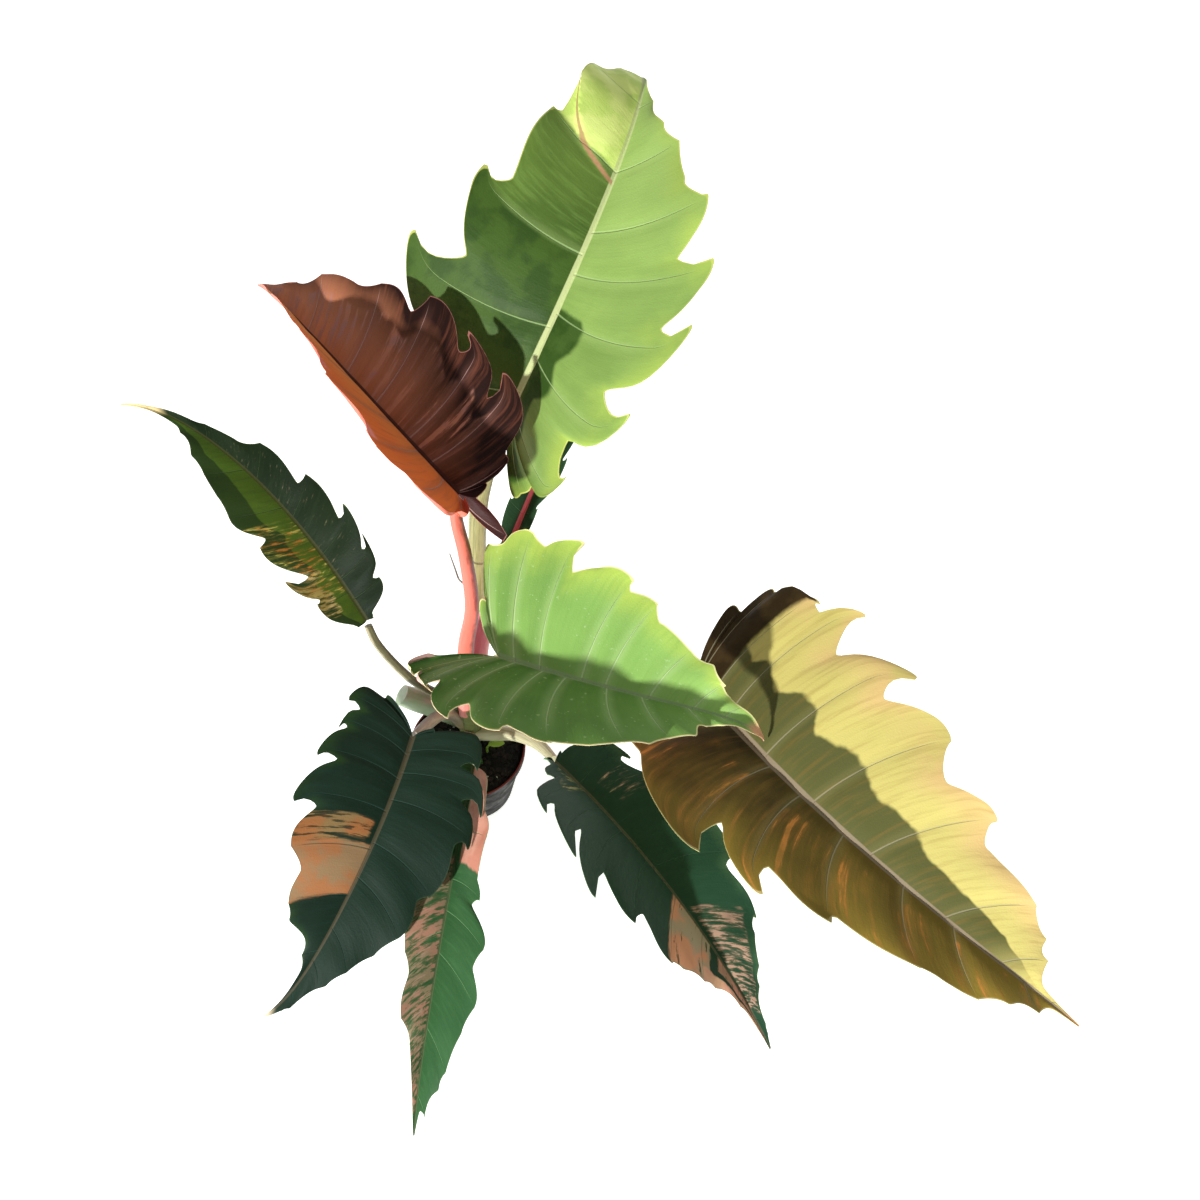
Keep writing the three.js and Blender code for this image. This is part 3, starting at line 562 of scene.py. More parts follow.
def rail_of(leaf):
    """The midrib of a leaf as points with their sideways and upward directions."""
    rail = []
    point = Vector(leaf["at"])

    def forward_at(u):
        curl = u ** TIP_CURL_POWER
        bend = leaf["bend"] * u ** BEND_POWER
        pitch = math.radians(leaf["pitch"] + bend - leaf["tip_droop"] * curl)
        heading = math.radians(leaf["heading"] + leaf["sway"] * u + leaf["tip_sway"] * curl)
        east, north, level = math.cos(heading), math.sin(heading), math.cos(pitch)
        return Vector((level * east, level * north, math.sin(pitch))), Vector((north, -east, 0))

    for i in range(POSTURE_STEPS + 1):
        u = i / POSTURE_STEPS
        forward, flat = forward_at(u)
        above = flat.cross(forward)
        roll = math.radians(leaf["roll"] + leaf["twist"] * u)
        side = flat * math.cos(roll) + above * math.sin(roll)
        up = above * math.cos(roll) - flat * math.sin(roll)
        rail.append((point.copy(), forward, side, up))
        point += forward_at((i + 0.5) / POSTURE_STEPS)[0] * leaf["length"] / POSTURE_STEPS
    return rail


def rail_at(leaf, rail, along):
    place = min(max(along / leaf["length"], 0), 1) * POSTURE_STEPS
    i = min(int(place), POSTURE_STEPS - 1)
    point, forward, side, up = (a.lerp(b, place - i) for a, b in zip(rail[i], rail[i + 1]))
    over = along - min(max(along, 0), leaf["length"])
    return point + forward.normalized() * over, side.normalized(), up.normalized()


def margin_at(start, teeth, q):
    """How far the vein at place q reaches, how far forward the tip of its tooth is pulled, and
    from which reach to which that pull grows."""
    last_q, last_reach = 0, start
    for tooth_q, tooth_reach, hook, notch_q, notch_reach in teeth:
        root = min(max(last_reach, notch_reach), tooth_reach - 1)
        if q <= tooth_q:
            s = (q - last_q) / (tooth_q - last_q)
            eased = s * s * (1 + BAY_ROUND) / (s + BAY_ROUND)
            swell = mix(last_reach, tooth_reach, 1 - (1 - eased) ** SWELL_POWER)
            belly = BELLY * tooth_reach * math.sin(math.pi * eased)
            return swell + belly * min(1, (tooth_q - last_q) / BELLY_SPAN), hook, root, tooth_reach
        if q <= notch_q:
            s = 1 - (q - tooth_q) / (notch_q - tooth_q)
            return mix(notch_reach, tooth_reach, s ** DROP_POWER), hook, root, tooth_reach
        last_q, last_reach = notch_q, notch_reach
    s = (q - last_q) / (1 - last_q)
    return mix(last_reach, TIP_REACH, s ** TIP_POWER), 0, 0, 1


def flat_point(leaf, q, t, sign):
    """Place on the flattened blade: along the midrib, across from it, and the vein's reach."""
    side = "right" if sign > 0 else "left"
    reach, hook, root, crown = margin_at(leaf["lobe_" + side], leaf[side], q)
    origin = leaf["length"] * max(0, (q - VEINS_FROM_BASE) / (1 - VEINS_FROM_BASE))
    spur = leaf.get("spur", 0) * max(0, 1 - q / SPUR_END) ** 2 if sign > 0 else 0
    angle = math.radians(mix(leaf["fan"], leaf["lobe"], (1 - q) ** FAN_POWER) + spur)
    curve = math.radians(leaf["curve"]) / 2 * t
    pull = hook * min(max((reach * t - root) / (crown - root), 0), PULL_LIMIT) ** PULL_POWER
    along = origin + reach * t * (math.cos(angle) + curve * math.sin(angle)) + pull
    return along, reach * t * (math.sin(angle) - curve * math.cos(angle)), reach


def vein_places(leaf, sign):
    """Where the main side veins leave: one for each tooth, and more where teeth are far apart."""
    places = [0]
    for tooth_q, *_ in leaf["right" if sign > 0 else "left"]:
        if tooth_q - places[-1] > WIDEST_VEIN_GAP:
            places.append(mix(places[-1], tooth_q, 0.5))
        places.append(tooth_q)
    while 1 - places[-1] > WIDEST_TIP_GAP:
        places.append(places[-1] + TIP_VEIN_STEP)
    return places[1:]


def blade_shape(leaf):
    """The closed blade, from a grid of veins by shares of a vein, warped and extruded."""
    rail = rail_of(leaf)
    veins = {sign: vein_places(leaf, sign) for sign in (-1, 1)}
    marks = {0, 1}
    for tooth_q, _, _, notch_q, _ in leaf["left"] + leaf["right"]:
        marks.update((tooth_q, notch_q))
    marks = sorted(marks)
    places = [0]
    for a, b in zip(marks, marks[1:]):
        steps = max(2, math.ceil((b - a) / COLUMN_STEP))
        places += [mix(a, b, (k + 1) / steps) for k in range(steps)]
    shares = [-t for t in reversed(SHARES[1:])] + list(SHARES)

    shape = bmesh.new()
    param = shape.verts.layers.float_vector.new("param")
    bmesh.ops.create_grid(shape, x_segments=len(places) - 1, y_segments=len(shares) - 1, size=0.5)
    for v in shape.verts:
        column = round((v.co.x + 0.5) * (len(places) - 1))
        row = round((v.co.y + 0.5) * (len(shares) - 1))
        v[param] = Vector((places[column], shares[row], 0))
    doubled = bmesh.ops.extrude_face_region(shape, geom=shape.faces[:], use_keep_orig=True)
    for item in doubled["geom"]:
        if isinstance(item, bmesh.types.BMVert):
            item[param] = item[param] + Vector((0, 0, 1))

    def nearest_vein(q, t, sign, along, across):
        closest = min(veins[sign], key=lambda place: abs(place - q))
        other = flat_point(leaf, closest, t, sign)
        return math.hypot(other[0] - along, other[1] - across)

    facts = {}
    for v in shape.verts:
        q, share, under = v[param]
        for sign in ((-1, 1) if share == 0 else (-1,) if share < 0 else (1,)):
            along, across, reach = flat_point(leaf, q, abs(share), sign)
            from_vein = nearest_vein(q, abs(share), sign, along, across)
            facts[v, sign] = along, across, reach, from_vein

    corner_marks = shape.loops.layers.float_vector.new("vein")
    corner_place = shape.loops.layers.float_vector.new("blade")
    for face in shape.faces:
        sign = 1 if sum(v[param].y for v in face.verts) > 0 else -1
        for corner in face.loops:
            q, share, under = corner.vert[param]
            along, across, reach, from_vein = facts[corner.vert, sign]
            from_rib = abs(across) if along > 0 else math.hypot(along, across)
            corner[corner_marks] = Vector((q, share, from_vein))
            corner[corner_place] = Vector((from_rib, (1 - abs(share)) * reach, under))

    for v in shape.verts:
        q, share, under = v[param]
        sign = 1 if share > 0 else -1
        t = abs(share)
        along, across, reach, from_vein = facts[v, sign]
        lift, turned = 0, 0
        for curl_side, curl_q, curl_width, band, turn in leaf.get("curls", ()):
            past = band - (1 - t) * reach
            bend = math.radians(turn) * near(q - curl_q, curl_width)
            if curl_side == sign and past > 0 and bend > 0.05 and band < reach:
                root = flat_point(leaf, q, 1 - band / reach, sign)
                ahead = Vector((along - root[0], across - root[1])).normalized()
                turned = bend * past / band
                out = (math.sin(turned) / bend * band, (1 - math.cos(turned)) / bend * band)
                along, across = root[0] + ahead.x * out[0], root[1] + ahead.y * out[0]
                lift += out[1]
        if "crease" in leaf and sign < 0:
            fold_start, fold_lean, fold_sweep, height = leaf["crease"]
            past = q - fold_start - fold_lean * t - fold_sweep * t ** 6
            rise_share = min(max(past / 0.006 + 0.5, 0), 1)
            fall = min(max(1 - past / 0.16, 0), 1)
            lift += height * rise_share * fall * min(1, t * 5)
        point, side, up = rail_at(leaf, rail, along)
        fold = math.radians(leaf["fold_right" if sign > 0 else "fold_left"])
        ripple = leaf["wave"] * t * t * math.sin(q * WAVE_RATE + sign) * min(1, (1 - q) * WAVE_FADE)
        from_rib = abs(across) if along > 0 else math.hypot(along, across)
        puff = leaf["puff"] * (1 - near(from_vein, 9)) * min(1, from_rib / 12) * (1 - t ** 4)
        groove = -RIB_GROOVE * near(from_rib, 3.2) * (1 - q)
        ridge = RIB_RIDGE * (1 - q * 0.8) * near(from_rib, 2.6) + VEIN_RIDGE * near(from_vein, 1.2)
        rise = across * math.sin(fold) - CUP * across * across + ripple + puff + groove + lift
        thick = under * (BLADE_THICKNESS + ridge)
        across = across * math.cos(fold) + thick * math.sin(turned)
        v.co = (point + side * sign * across + up * (rise - thick * math.cos(turned))) * MM

    bmesh.ops.remove_doubles(shape, verts=shape.verts, dist=1e-7)
    bmesh.ops.recalc_face_normals(shape, faces=shape.faces)
    shape.verts.layers.float_vector.remove(param)
    return shape


# The leaf skin, for every blade: where the midrib, the side veins, the rim and the fine
# threads lie, and a patch that keeps between side veins: marbled tissue without green, and
# on some leaves painted shade and painted light.
blade_marks = tree = bpy.data.node_groups.new("blade_marks", "ShaderNodeTree")
sockets(tree, "Float", INPUT="Rib width, Vein width, Rim width",
        OUTPUT="Rib, Veins, Halo, Rim, Threads, Side, Place, Share, Under, Height")
given, made = group_ends(tree)
place, signed_share, from_vein = parts_of(tree, "vein")
from_rib, edge, under = parts_of(tree, "blade")
share = calc(tree, "ABSOLUTE", signed_share)
side = calc(tree, "SIGN", signed_share)
taper = calc(tree, "MULTIPLY_ADD", place, -0.85, 1)
half_rib = calc(tree, "MULTIPLY_ADD", given["Rib width"], times(tree, taper, 0.5), 0.4)
rib = step(tree, calc(tree, "DIVIDE", from_rib, half_rib), 1.15, 0.85)
half_vein = times(tree, given["Vein width"], calc(tree, "MULTIPLY_ADD", share, -0.7, 1))
veins = step(tree, calc(tree, "DIVIDE", from_vein, half_vein), 1, 0.25)
veins = times(tree, veins, step(tree, share, 0.98, 0.75))
halo = times(tree, step(tree, from_vein, 9, 1), step(tree, share, 1, 0.6))
rim = step(tree, calc(tree, "DIVIDE", edge, given["Rim width"]), 1.1, 0.7)
thread_place = put(tree, "CombineXYZ", 0, {
    0: times(tree, place, 110), 1: times(tree, share, 1.6), 2: side})
threads = cloud(tree, thread_place, 1, 4, 0.6)
hollow = calc(tree, "MULTIPLY_ADD", veins, -0.5, times(tree, threads, 0.35))
pores = times(tree, cloud(tree, in_place(tree), 700, 2), 0.2)
height = calc(tree, "ADD", hollow, pores)
for socket, outlet in zip(made, (rib, veins, halo, rim, threads, side, place, share, under, height)):
    tree.links.new(outlet, socket)

blade_patch = tree = bpy.data.node_groups.new("blade_patch", "ShaderNodeTree")
sockets(tree, "Float", OUTPUT="Mask",
        INPUT="Place, Share, Side, On side, From, To, Inner, Outer, Amount, Grain, Streak, Seed")
given, made = group_ends(tree)
on_side = calc(tree, "GREATER_THAN", times(tree, given["Side"], given["On side"]), -0.5)
marble_place = put(tree, "CombineXYZ", 0, {
    0: times(tree, given["Place"], given["Grain"]),
    1: times(tree, given["Share"], given["Streak"]), 2: given["Seed"]})
marble = cloud(tree, marble_place, 1, 6, 0.62)
ragged = calc(tree, "MULTIPLY_ADD", marble, 0.03, -0.015)
ragged_place = calc(tree, "ADD", given["Place"], ragged)
ragged_share = calc(tree, "MULTIPLY_ADD", ragged, 5, given["Share"])


def within(tree, value, low, high, soft):
    over = step(tree, calc(tree, "SUBTRACT", value, low), -soft, soft)
    below = step(tree, calc(tree, "SUBTRACT", high, value), -soft, soft)
    return times(tree, over, below)


mask = within(tree, ragged_place, given["From"], given["To"], 0.004)
mask = times(tree, on_side, mask)
mask = times(tree, mask, within(tree, ragged_share, given["Inner"], given["Outer"], 0.03))
level = calc(tree, "SUBTRACT", calc(tree, "ADD", marble, given["Amount"]), 1)
crisp = times(tree, step(tree, level, -0.015, 0.02), 0.6)
hazy = times(tree, step(tree, level, -0.13, 0.05), 0.4)
mask = times(tree, mask, calc(tree, "ADD", crisp, hazy))
tree.links.new(mask, made["Mask"])


def blade_finish(name, look):
    """The skin of one blade: its two greens, veins, rim, patches of marbling, painted shade and painted
    light, and underside.
    """
    finish, tree, shader = new_finish(name, Roughness=look["gloss"], IOR=1.45, Specular_IOR_Level=0.15)
    marks = use_group(tree, blade_marks, Rib_width=look["rib"][1], Vein_width=look["vein"][1],
                      Rim_width=look["rim"][1])
    spots = cloud(tree, in_place(tree), 16, 4)
    light_q, light_side, light_share, light_level = look["shift"]
    level = calc(tree, "MULTIPLY_ADD", marks["Place"], light_q, light_level)
    level = calc(tree, "MULTIPLY_ADD", marks["Side"], light_side, level)
    level = calc(tree, "MULTIPLY_ADD", calc(tree, "POWER", marks["Share"], 2), light_share, level)
    uneven = calc(tree, "SUBTRACT", spots, 0.5)
    level = calc(tree, "MULTIPLY_ADD", uneven, look["mottle"], level)
    on_right = calc(tree, "GREATER_THAN", marks["Side"], 0)
    left_deep, left_light = look.get("left", (look["deep"], look["light"]))
    deep = mixed(tree, on_right, left_deep, look["deep"])
    light = mixed(tree, on_right, left_light, look["light"])
    skin = mixed(tree, calc(tree, "MAXIMUM", calc(tree, "MINIMUM", level, 1), 0), deep, light)
    # The core is a tone beside the midrib; on the right leaf it is painted shade.
    if "core" in look:
        core_tone, core_side, core_share, core_amount = look["core"]
        ragged = calc(tree, "MULTIPLY_ADD", uneven, 0.3, marks["Share"])
        core = times(tree, step(tree, ragged, core_share + 0.04, core_share), core_amount)
        core = times(tree, core, step(tree, marks["Place"], 0.93, 0.8))
        core = times(tree, core, calc(tree, "GREATER_THAN", times(tree, marks["Side"], core_side), 0))
        skin = mixed(tree, core, skin, core_tone)
    # The glow near the margin is partly the margin's own colour and partly painted light.
    if "glow" in look:
        glow_tone, glow_side, glow_from, glow_amount = look["glow"]
        lit = times(tree, step(tree, marks["Share"], glow_from, 1.05), glow_amount)
        lit = times(tree, lit, step(tree, spots, 0.3, 0.6))
        lit = times(tree, lit, step(tree, times(tree, marks["Side"], glow_side), -0.5, 0.5))
        skin = mixed(tree, lit, skin, glow_tone)
    thread_tone, thread_amount = look["thread"]
    fine = times(tree, step(tree, marks["Threads"], 0.45, 0.72), thread_amount)
    skin = mixed(tree, fine, skin, thread_tone)
    if "halo" in look:
        halo_tone, halo_amount = look["halo"]
        skin = mixed(tree, times(tree, marks["Halo"], halo_amount), skin, halo_tone)
    for on_side, q0, q1, s0, s1, amount, grain, streak, seed, pale, warm in look.get("patches", ()):
        patch = use_group(tree, blade_patch, Place=marks["Place"], Share=marks["Share"], Side=marks["Side"],
                          On_side=on_side, From=q0, To=q1, Inner=s0, Outer=s1, Amount=amount,
                          Grain=grain, Streak=streak, Seed=seed)
        patch_tone = mixed(tree, step(tree, cloud(tree, in_place(tree), 30 + seed, 3), 0.42, 0.6), pale, warm)
        skin = mixed(tree, patch["Mask"], skin, patch_tone)
    if "specks" in look:
        speck_tone, speck_level = look["specks"]
        dots = cloud(tree, in_place(tree), 260, 2, 0.5)
        dots = times(tree, step(tree, dots, speck_level, speck_level + 0.08), 0.55)
        skin = mixed(tree, dots, skin, speck_tone)
    for mark, line in (("Veins", "vein"), ("Rib", "rib"), ("Rim", "rim")):
        line_tone, _, strength = look[line]
        skin = mixed(tree, times(tree, marks[mark], strength), skin, line_tone)
    if "tip" in look:
        tip_tone, tip_from = look["tip"]
        skin = mixed(tree, step(tree, marks["Place"], tip_from, tip_from + 0.05), skin, tip_tone)
    if "crease" in look:
        fold_start, fold_lean, fold_sweep, fold_tone = look["crease"]
        fold_line = calc(tree, "MULTIPLY_ADD", calc(tree, "POWER", marks["Share"], 6), fold_sweep, fold_start)
        fold_line = calc(tree, "MULTIPLY_ADD", marks["Share"], fold_lean, fold_line)
        beside = calc(tree, "ABSOLUTE", calc(tree, "SUBTRACT", marks["Place"], fold_line))
        on_left = calc(tree, "LESS_THAN", marks["Side"], 0)
        fold_mark = times(tree, step(tree, beside, 0.006, 0.002), on_left)
        skin = mixed(tree, times(tree, fold_mark, 0.8), skin, fold_tone)
    below = mixed(tree, calc(tree, "MAXIMUM", marks["Veins"], marks["Rib"]), look["under"], look["under_rib"])
    skin = mixed(tree, marks["Under"], skin, below)
    tree.links.new(skin, shader.inputs["Base Color"])
    relief(tree, shader, marks["Height"], 0.0009)
    return finish


# The nine leaves: how each is carried, cut and folded. at is the base of the blade. The postures
# and most teeth were fitted to the photograph's outline and to points read from it, and
# some were changed since. A curl is (side, place, width, depth, turn).
LEAVES = {
    "leaf_top": {
        "crease": (0.603, 0.045, 0.06, 4.5),
        "at": (54, 148, 405), "length": 400, "pitch": 47, "bend": -79, "heading": 50, "sway": 40,
        "roll": 9, "twist": -13, "fold_left": 19, "fold_right": 23, "lobe": 150, "fan": 55,
        "tip_droop": 36, "tip_sway": 20, "curve": 30, "wave": 3, "puff": 1.6, "lobe_left": 80,
        "lobe_right": 58,
        "left": [(0.06, 92, 0, 0.15, 82), (0.23, 120, 12, 0.265, 96), (0.346, 134, 23, 0.378, 85),
            (0.472, 101, 13, 0.498, 79), (0.624, 75, 2, 0.634, 67), (0.788, 58, 0, 0.814, 45)],
        "right": [(0.07, 78, 0, 0.16, 82), (0.21, 112, 20, 0.255, 86), (0.291, 128, 16, 0.314, 94),
            (0.37, 136, 14, 0.381, 112), (0.438, 124, 6, 0.449, 94), (0.511, 99, 2, 0.546, 73),
            (0.624, 55, 0, 0.668, 36), (0.772, 16, 0, 0.837, 5)],
    },
    "leaf_new": {
        "curls": [(-1, 0.03, 0.05, 16, 165), (-1, 0.19, 0.04, 10, 160), (-1, 0.36, 0.03, 8, 160),
                  (-1, 0.5, 0.03, 7, 160)],
        "at": (13, 59, 410), "length": 278, "pitch": 20, "bend": -33, "heading": 137, "sway": -12,
        "roll": -1, "twist": -16, "fold_left": 56, "fold_right": 29, "lobe": 145, "fan": 50,
        "tip_droop": 20, "tip_sway": 0, "curve": 30, "wave": 2, "puff": 2.2, "lobe_left": 25,
        "lobe_right": 52, "spur": 50,
        "left": [(0.12, 58, 4, 0.14, 57), (0.246, 92, 3, 0.27, 88), (0.329, 99, 5, 0.355, 94),
            (0.426, 89, 2, 0.445, 80), (0.56, 61, 0, 0.575, 57), (0.709, 36, 0, 0.77, 32)],
        "right": [(0.004, 51, 0, 0.022, 16), (0.1, 24, 0, 0.21, 48), (0.291, 90, 13, 0.303, 67),
            (0.366, 91, 15, 0.389, 78), (0.481, 97, 2, 0.502, 76), (0.586, 83, 0, 0.639, 68),
            (0.742, 58, 0, 0.816, 32)],
    },
    "leaf_left": {
        "at": (-80, 48, 235), "length": 344, "pitch": 21, "bend": -38, "heading": 125, "sway": 22,
        "roll": 13, "twist": 3, "fold_left": 14, "fold_right": 18, "lobe": 130, "fan": 42,
        "tip_droop": 0, "tip_sway": 20, "curve": 20, "wave": 2, "puff": 1.2, "lobe_left": 3,
        "lobe_right": 3,
        "left": [(0.19, 10, 0, 0.2, 11), (0.27, 29, 2, 0.28, 25), (0.32, 41, 10, 0.331, 22),
            (0.417, 42, 0, 0.433, 33), (0.5, 48, 0, 0.551, 43), (0.623, 37, 0, 0.682, 31),
            (0.779, 15, 0, 0.822, 8)],
        "right": [(0.189, 7, 0, 0.205, 8), (0.251, 31, 1, 0.259, 26), (0.299, 41, 14, 0.308, 33),
            (0.365, 45, 9, 0.375, 34), (0.468, 40, 1, 0.48, 28), (0.586, 34, 0, 0.647, 20),
            (0.744, 15, 0, 0.795, 10)],
    },
    "leaf_centre": {
        "curls": [(1, 0.03, 0.02, 9, 150), (1, 0.135, 0.02, 10, 150), (1, 0.22, 0.015, 8, 130)],
        "at": (44, -35, 315), "length": 232, "pitch": 0, "bend": -10, "heading": -20, "sway": 13,
        "roll": 3, "twist": -2, "fold_left": 17, "fold_right": 34, "lobe": 150, "fan": 55,
        "tip_droop": 60, "tip_sway": -10, "curve": 25, "wave": 3, "puff": 2.2, "lobe_left": 28,
        "lobe_right": 53,
        "left": [(0.1, 48, 0, 0.105, 50), (0.165, 99, 0, 0.2, 97), (0.247, 111, 2, 0.271, 103),
            (0.321, 115, 8, 0.331, 88), (0.441, 94, 3, 0.45, 85), (0.509, 82, 1, 0.541, 65),
            (0.634, 53, 0, 0.688, 46), (0.76, 30, 2, 0.8, 24)],
        "right": [(0.095, 84, 4, 0.122, 81), (0.192, 94, 10, 0.21, 79), (0.255, 115, 9, 0.272, 86),
            (0.335, 111, 2, 0.344, 102), (0.4, 104, 3, 0.455, 96), (0.516, 84, 0, 0.56, 76),
            (0.613, 60, 0, 0.67, 53), (0.744, 26, 0, 0.8, 19)],
    },
    "leaf_right": {
        "at": (208, -25, 250), "length": 408, "pitch": 13, "bend": -28, "heading": -60, "sway": 27,
        "roll": 0, "twist": -1, "fold_left": 17, "fold_right": 23, "lobe": 150, "fan": 52,
        "tip_droop": 10, "tip_sway": 0, "curve": 32, "wave": 3, "puff": 1.8, "lobe_left": 36,
        "lobe_right": 56,
        "left": [(0.11, 76, 0, 0.12, 76), (0.185, 106, 0, 0.192, 106), (0.238, 122, 10, 0.26, 117),
            (0.286, 143, 14, 0.32, 102), (0.384, 129, 21, 0.411, 101), (0.494, 118, 3, 0.549, 89),
            (0.613, 97, 4, 0.65, 76), (0.754, 67, 1, 0.81, 53), (0.855, 35, 0, 0.917, 8)],
        "right": [(0.2, 92, 2, 0.3, 91), (0.405, 113, 11, 0.416, 79), (0.473, 103, 13, 0.485, 82),
            (0.564, 83, 3, 0.572, 76), (0.68, 69, 1, 0.715, 64), (0.772, 57, 0, 0.825, 42),
            (0.898, 24, 0, 0.95, 5)],
    },
    "leaf_lower_right": {
        "at": (86, -47, 145), "length": 317, "pitch": -3, "bend": -31, "heading": -45, "sway": -12,
        "roll": 30, "twist": -29, "fold_left": 12, "fold_right": 28, "lobe": 145, "fan": 50,
        "tip_droop": 10, "tip_sway": 0, "curve": 30, "wave": 2, "puff": 1.2, "lobe_left": 4,
        "lobe_right": 6,
        "left": [(0.165, 14, 0, 0.19, 15), (0.276, 58, 10, 0.288, 51), (0.523, 75, 5, 0.549, 59),
            (0.646, 59, 3, 0.681, 50), (0.763, 36, 0, 0.81, 27), (0.921, 10, 0, 0.95, 7)],
        "right": [(0.2, 17, 2, 0.215, 18), (0.241, 39, 1, 0.251, 30), (0.294, 91, 10, 0.303, 71),
            (0.35, 96, 18, 0.357, 63), (0.418, 103, 9, 0.426, 72), (0.503, 80, 3, 0.519, 64),
            (0.605, 66, 2, 0.633, 60), (0.702, 44, 0, 0.74, 34), (0.844, 15, 0, 0.89, 8)],
    },
    "leaf_lower_left": {
        "at": (-42, -29, 160), "length": 282, "pitch": -13, "bend": -19, "heading": -105,
        "sway": -24, "roll": 19, "twist": -2, "fold_left": 11, "fold_right": 17, "lobe": 150, "fan": 52,
        "tip_droop": 0, "tip_sway": -34, "curve": 30, "wave": 2, "puff": 1.4, "lobe_left": 12,
        "lobe_right": 26,
        "left": [(0.1, 20, 2, 0.125, 20), (0.24, 63, 11, 0.259, 48), (0.298, 78, 18, 0.317, 58),
            (0.368, 77, 9, 0.39, 66), (0.482, 67, 1, 0.506, 59), (0.574, 62, 0, 0.634, 52),
            (0.711, 39, 0, 0.77, 30), (0.897, 14, 0, 0.927, 9)],
        "right": [(0.067, 42, 0, 0.075, 42), (0.206, 68, 6, 0.219, 55), (0.25, 67, 9, 0.26, 60),
            (0.314, 75, 8, 0.323, 58), (0.4, 79, 9, 0.418, 60), (0.5, 68, 0, 0.55, 52),
            (0.623, 51, 0, 0.66, 44), (0.776, 15, 0, 0.83, 6)],
    },
    "leaf_bottom": {
        "at": (9, -32, 107), "length": 327, "pitch": -1, "bend": -16, "heading": -98, "sway": 1,
        "roll": -22, "twist": 28, "fold_left": 36, "fold_right": 21, "lobe": 130, "fan": 42,
        "tip_droop": 10, "tip_sway": 4, "curve": 20, "wave": 2, "puff": 2.2, "lobe_left": 4,
        "lobe_right": 14,
        "left": [(0.2, 11, 0, 0.215, 12), (0.272, 34, 0, 0.31, 34), (0.363, 46, 0, 0.441, 42),
            (0.469, 49, 2, 0.488, 39), (0.539, 68, 0, 0.58, 58), (0.63, 69, 0, 0.687, 58),
            (0.785, 44, 0, 0.82, 37), (0.92, 18, 2, 0.935, 8)],
        "right": [(0.22, 30, 2, 0.245, 27), (0.38, 36, 3, 0.402, 27), (0.584, 37, 0, 0.636, 30),
            (0.716, 33, 0, 0.785, 20)],
    },
    "leaf_back": {
        "at": (44, 82, 285), "length": 205, "pitch": 20, "bend": -30, "heading": 68, "sway": 0,
        "roll": 0, "twist": 0, "fold_left": 40, "fold_right": 24, "lobe": 130, "fan": 45,
        "tip_droop": 20, "tip_sway": 0, "curve": 24, "wave": 1.5, "puff": 1.2, "lobe_left": 5,
        "lobe_right": 6,
        "left": [(0.22, 10, 2, 0.235, 8), (0.36, 17, 3, 0.375, 14), (0.52, 26, 5, 0.535, 22),
            (0.7, 24, 2, 0.72, 19)],
        "right": [(0.22, 10, 2, 0.235, 8), (0.36, 14, 3, 0.375, 12), (0.52, 24, 5, 0.535, 20),
            (0.7, 24, 2, 0.72, 19)],
    },
}

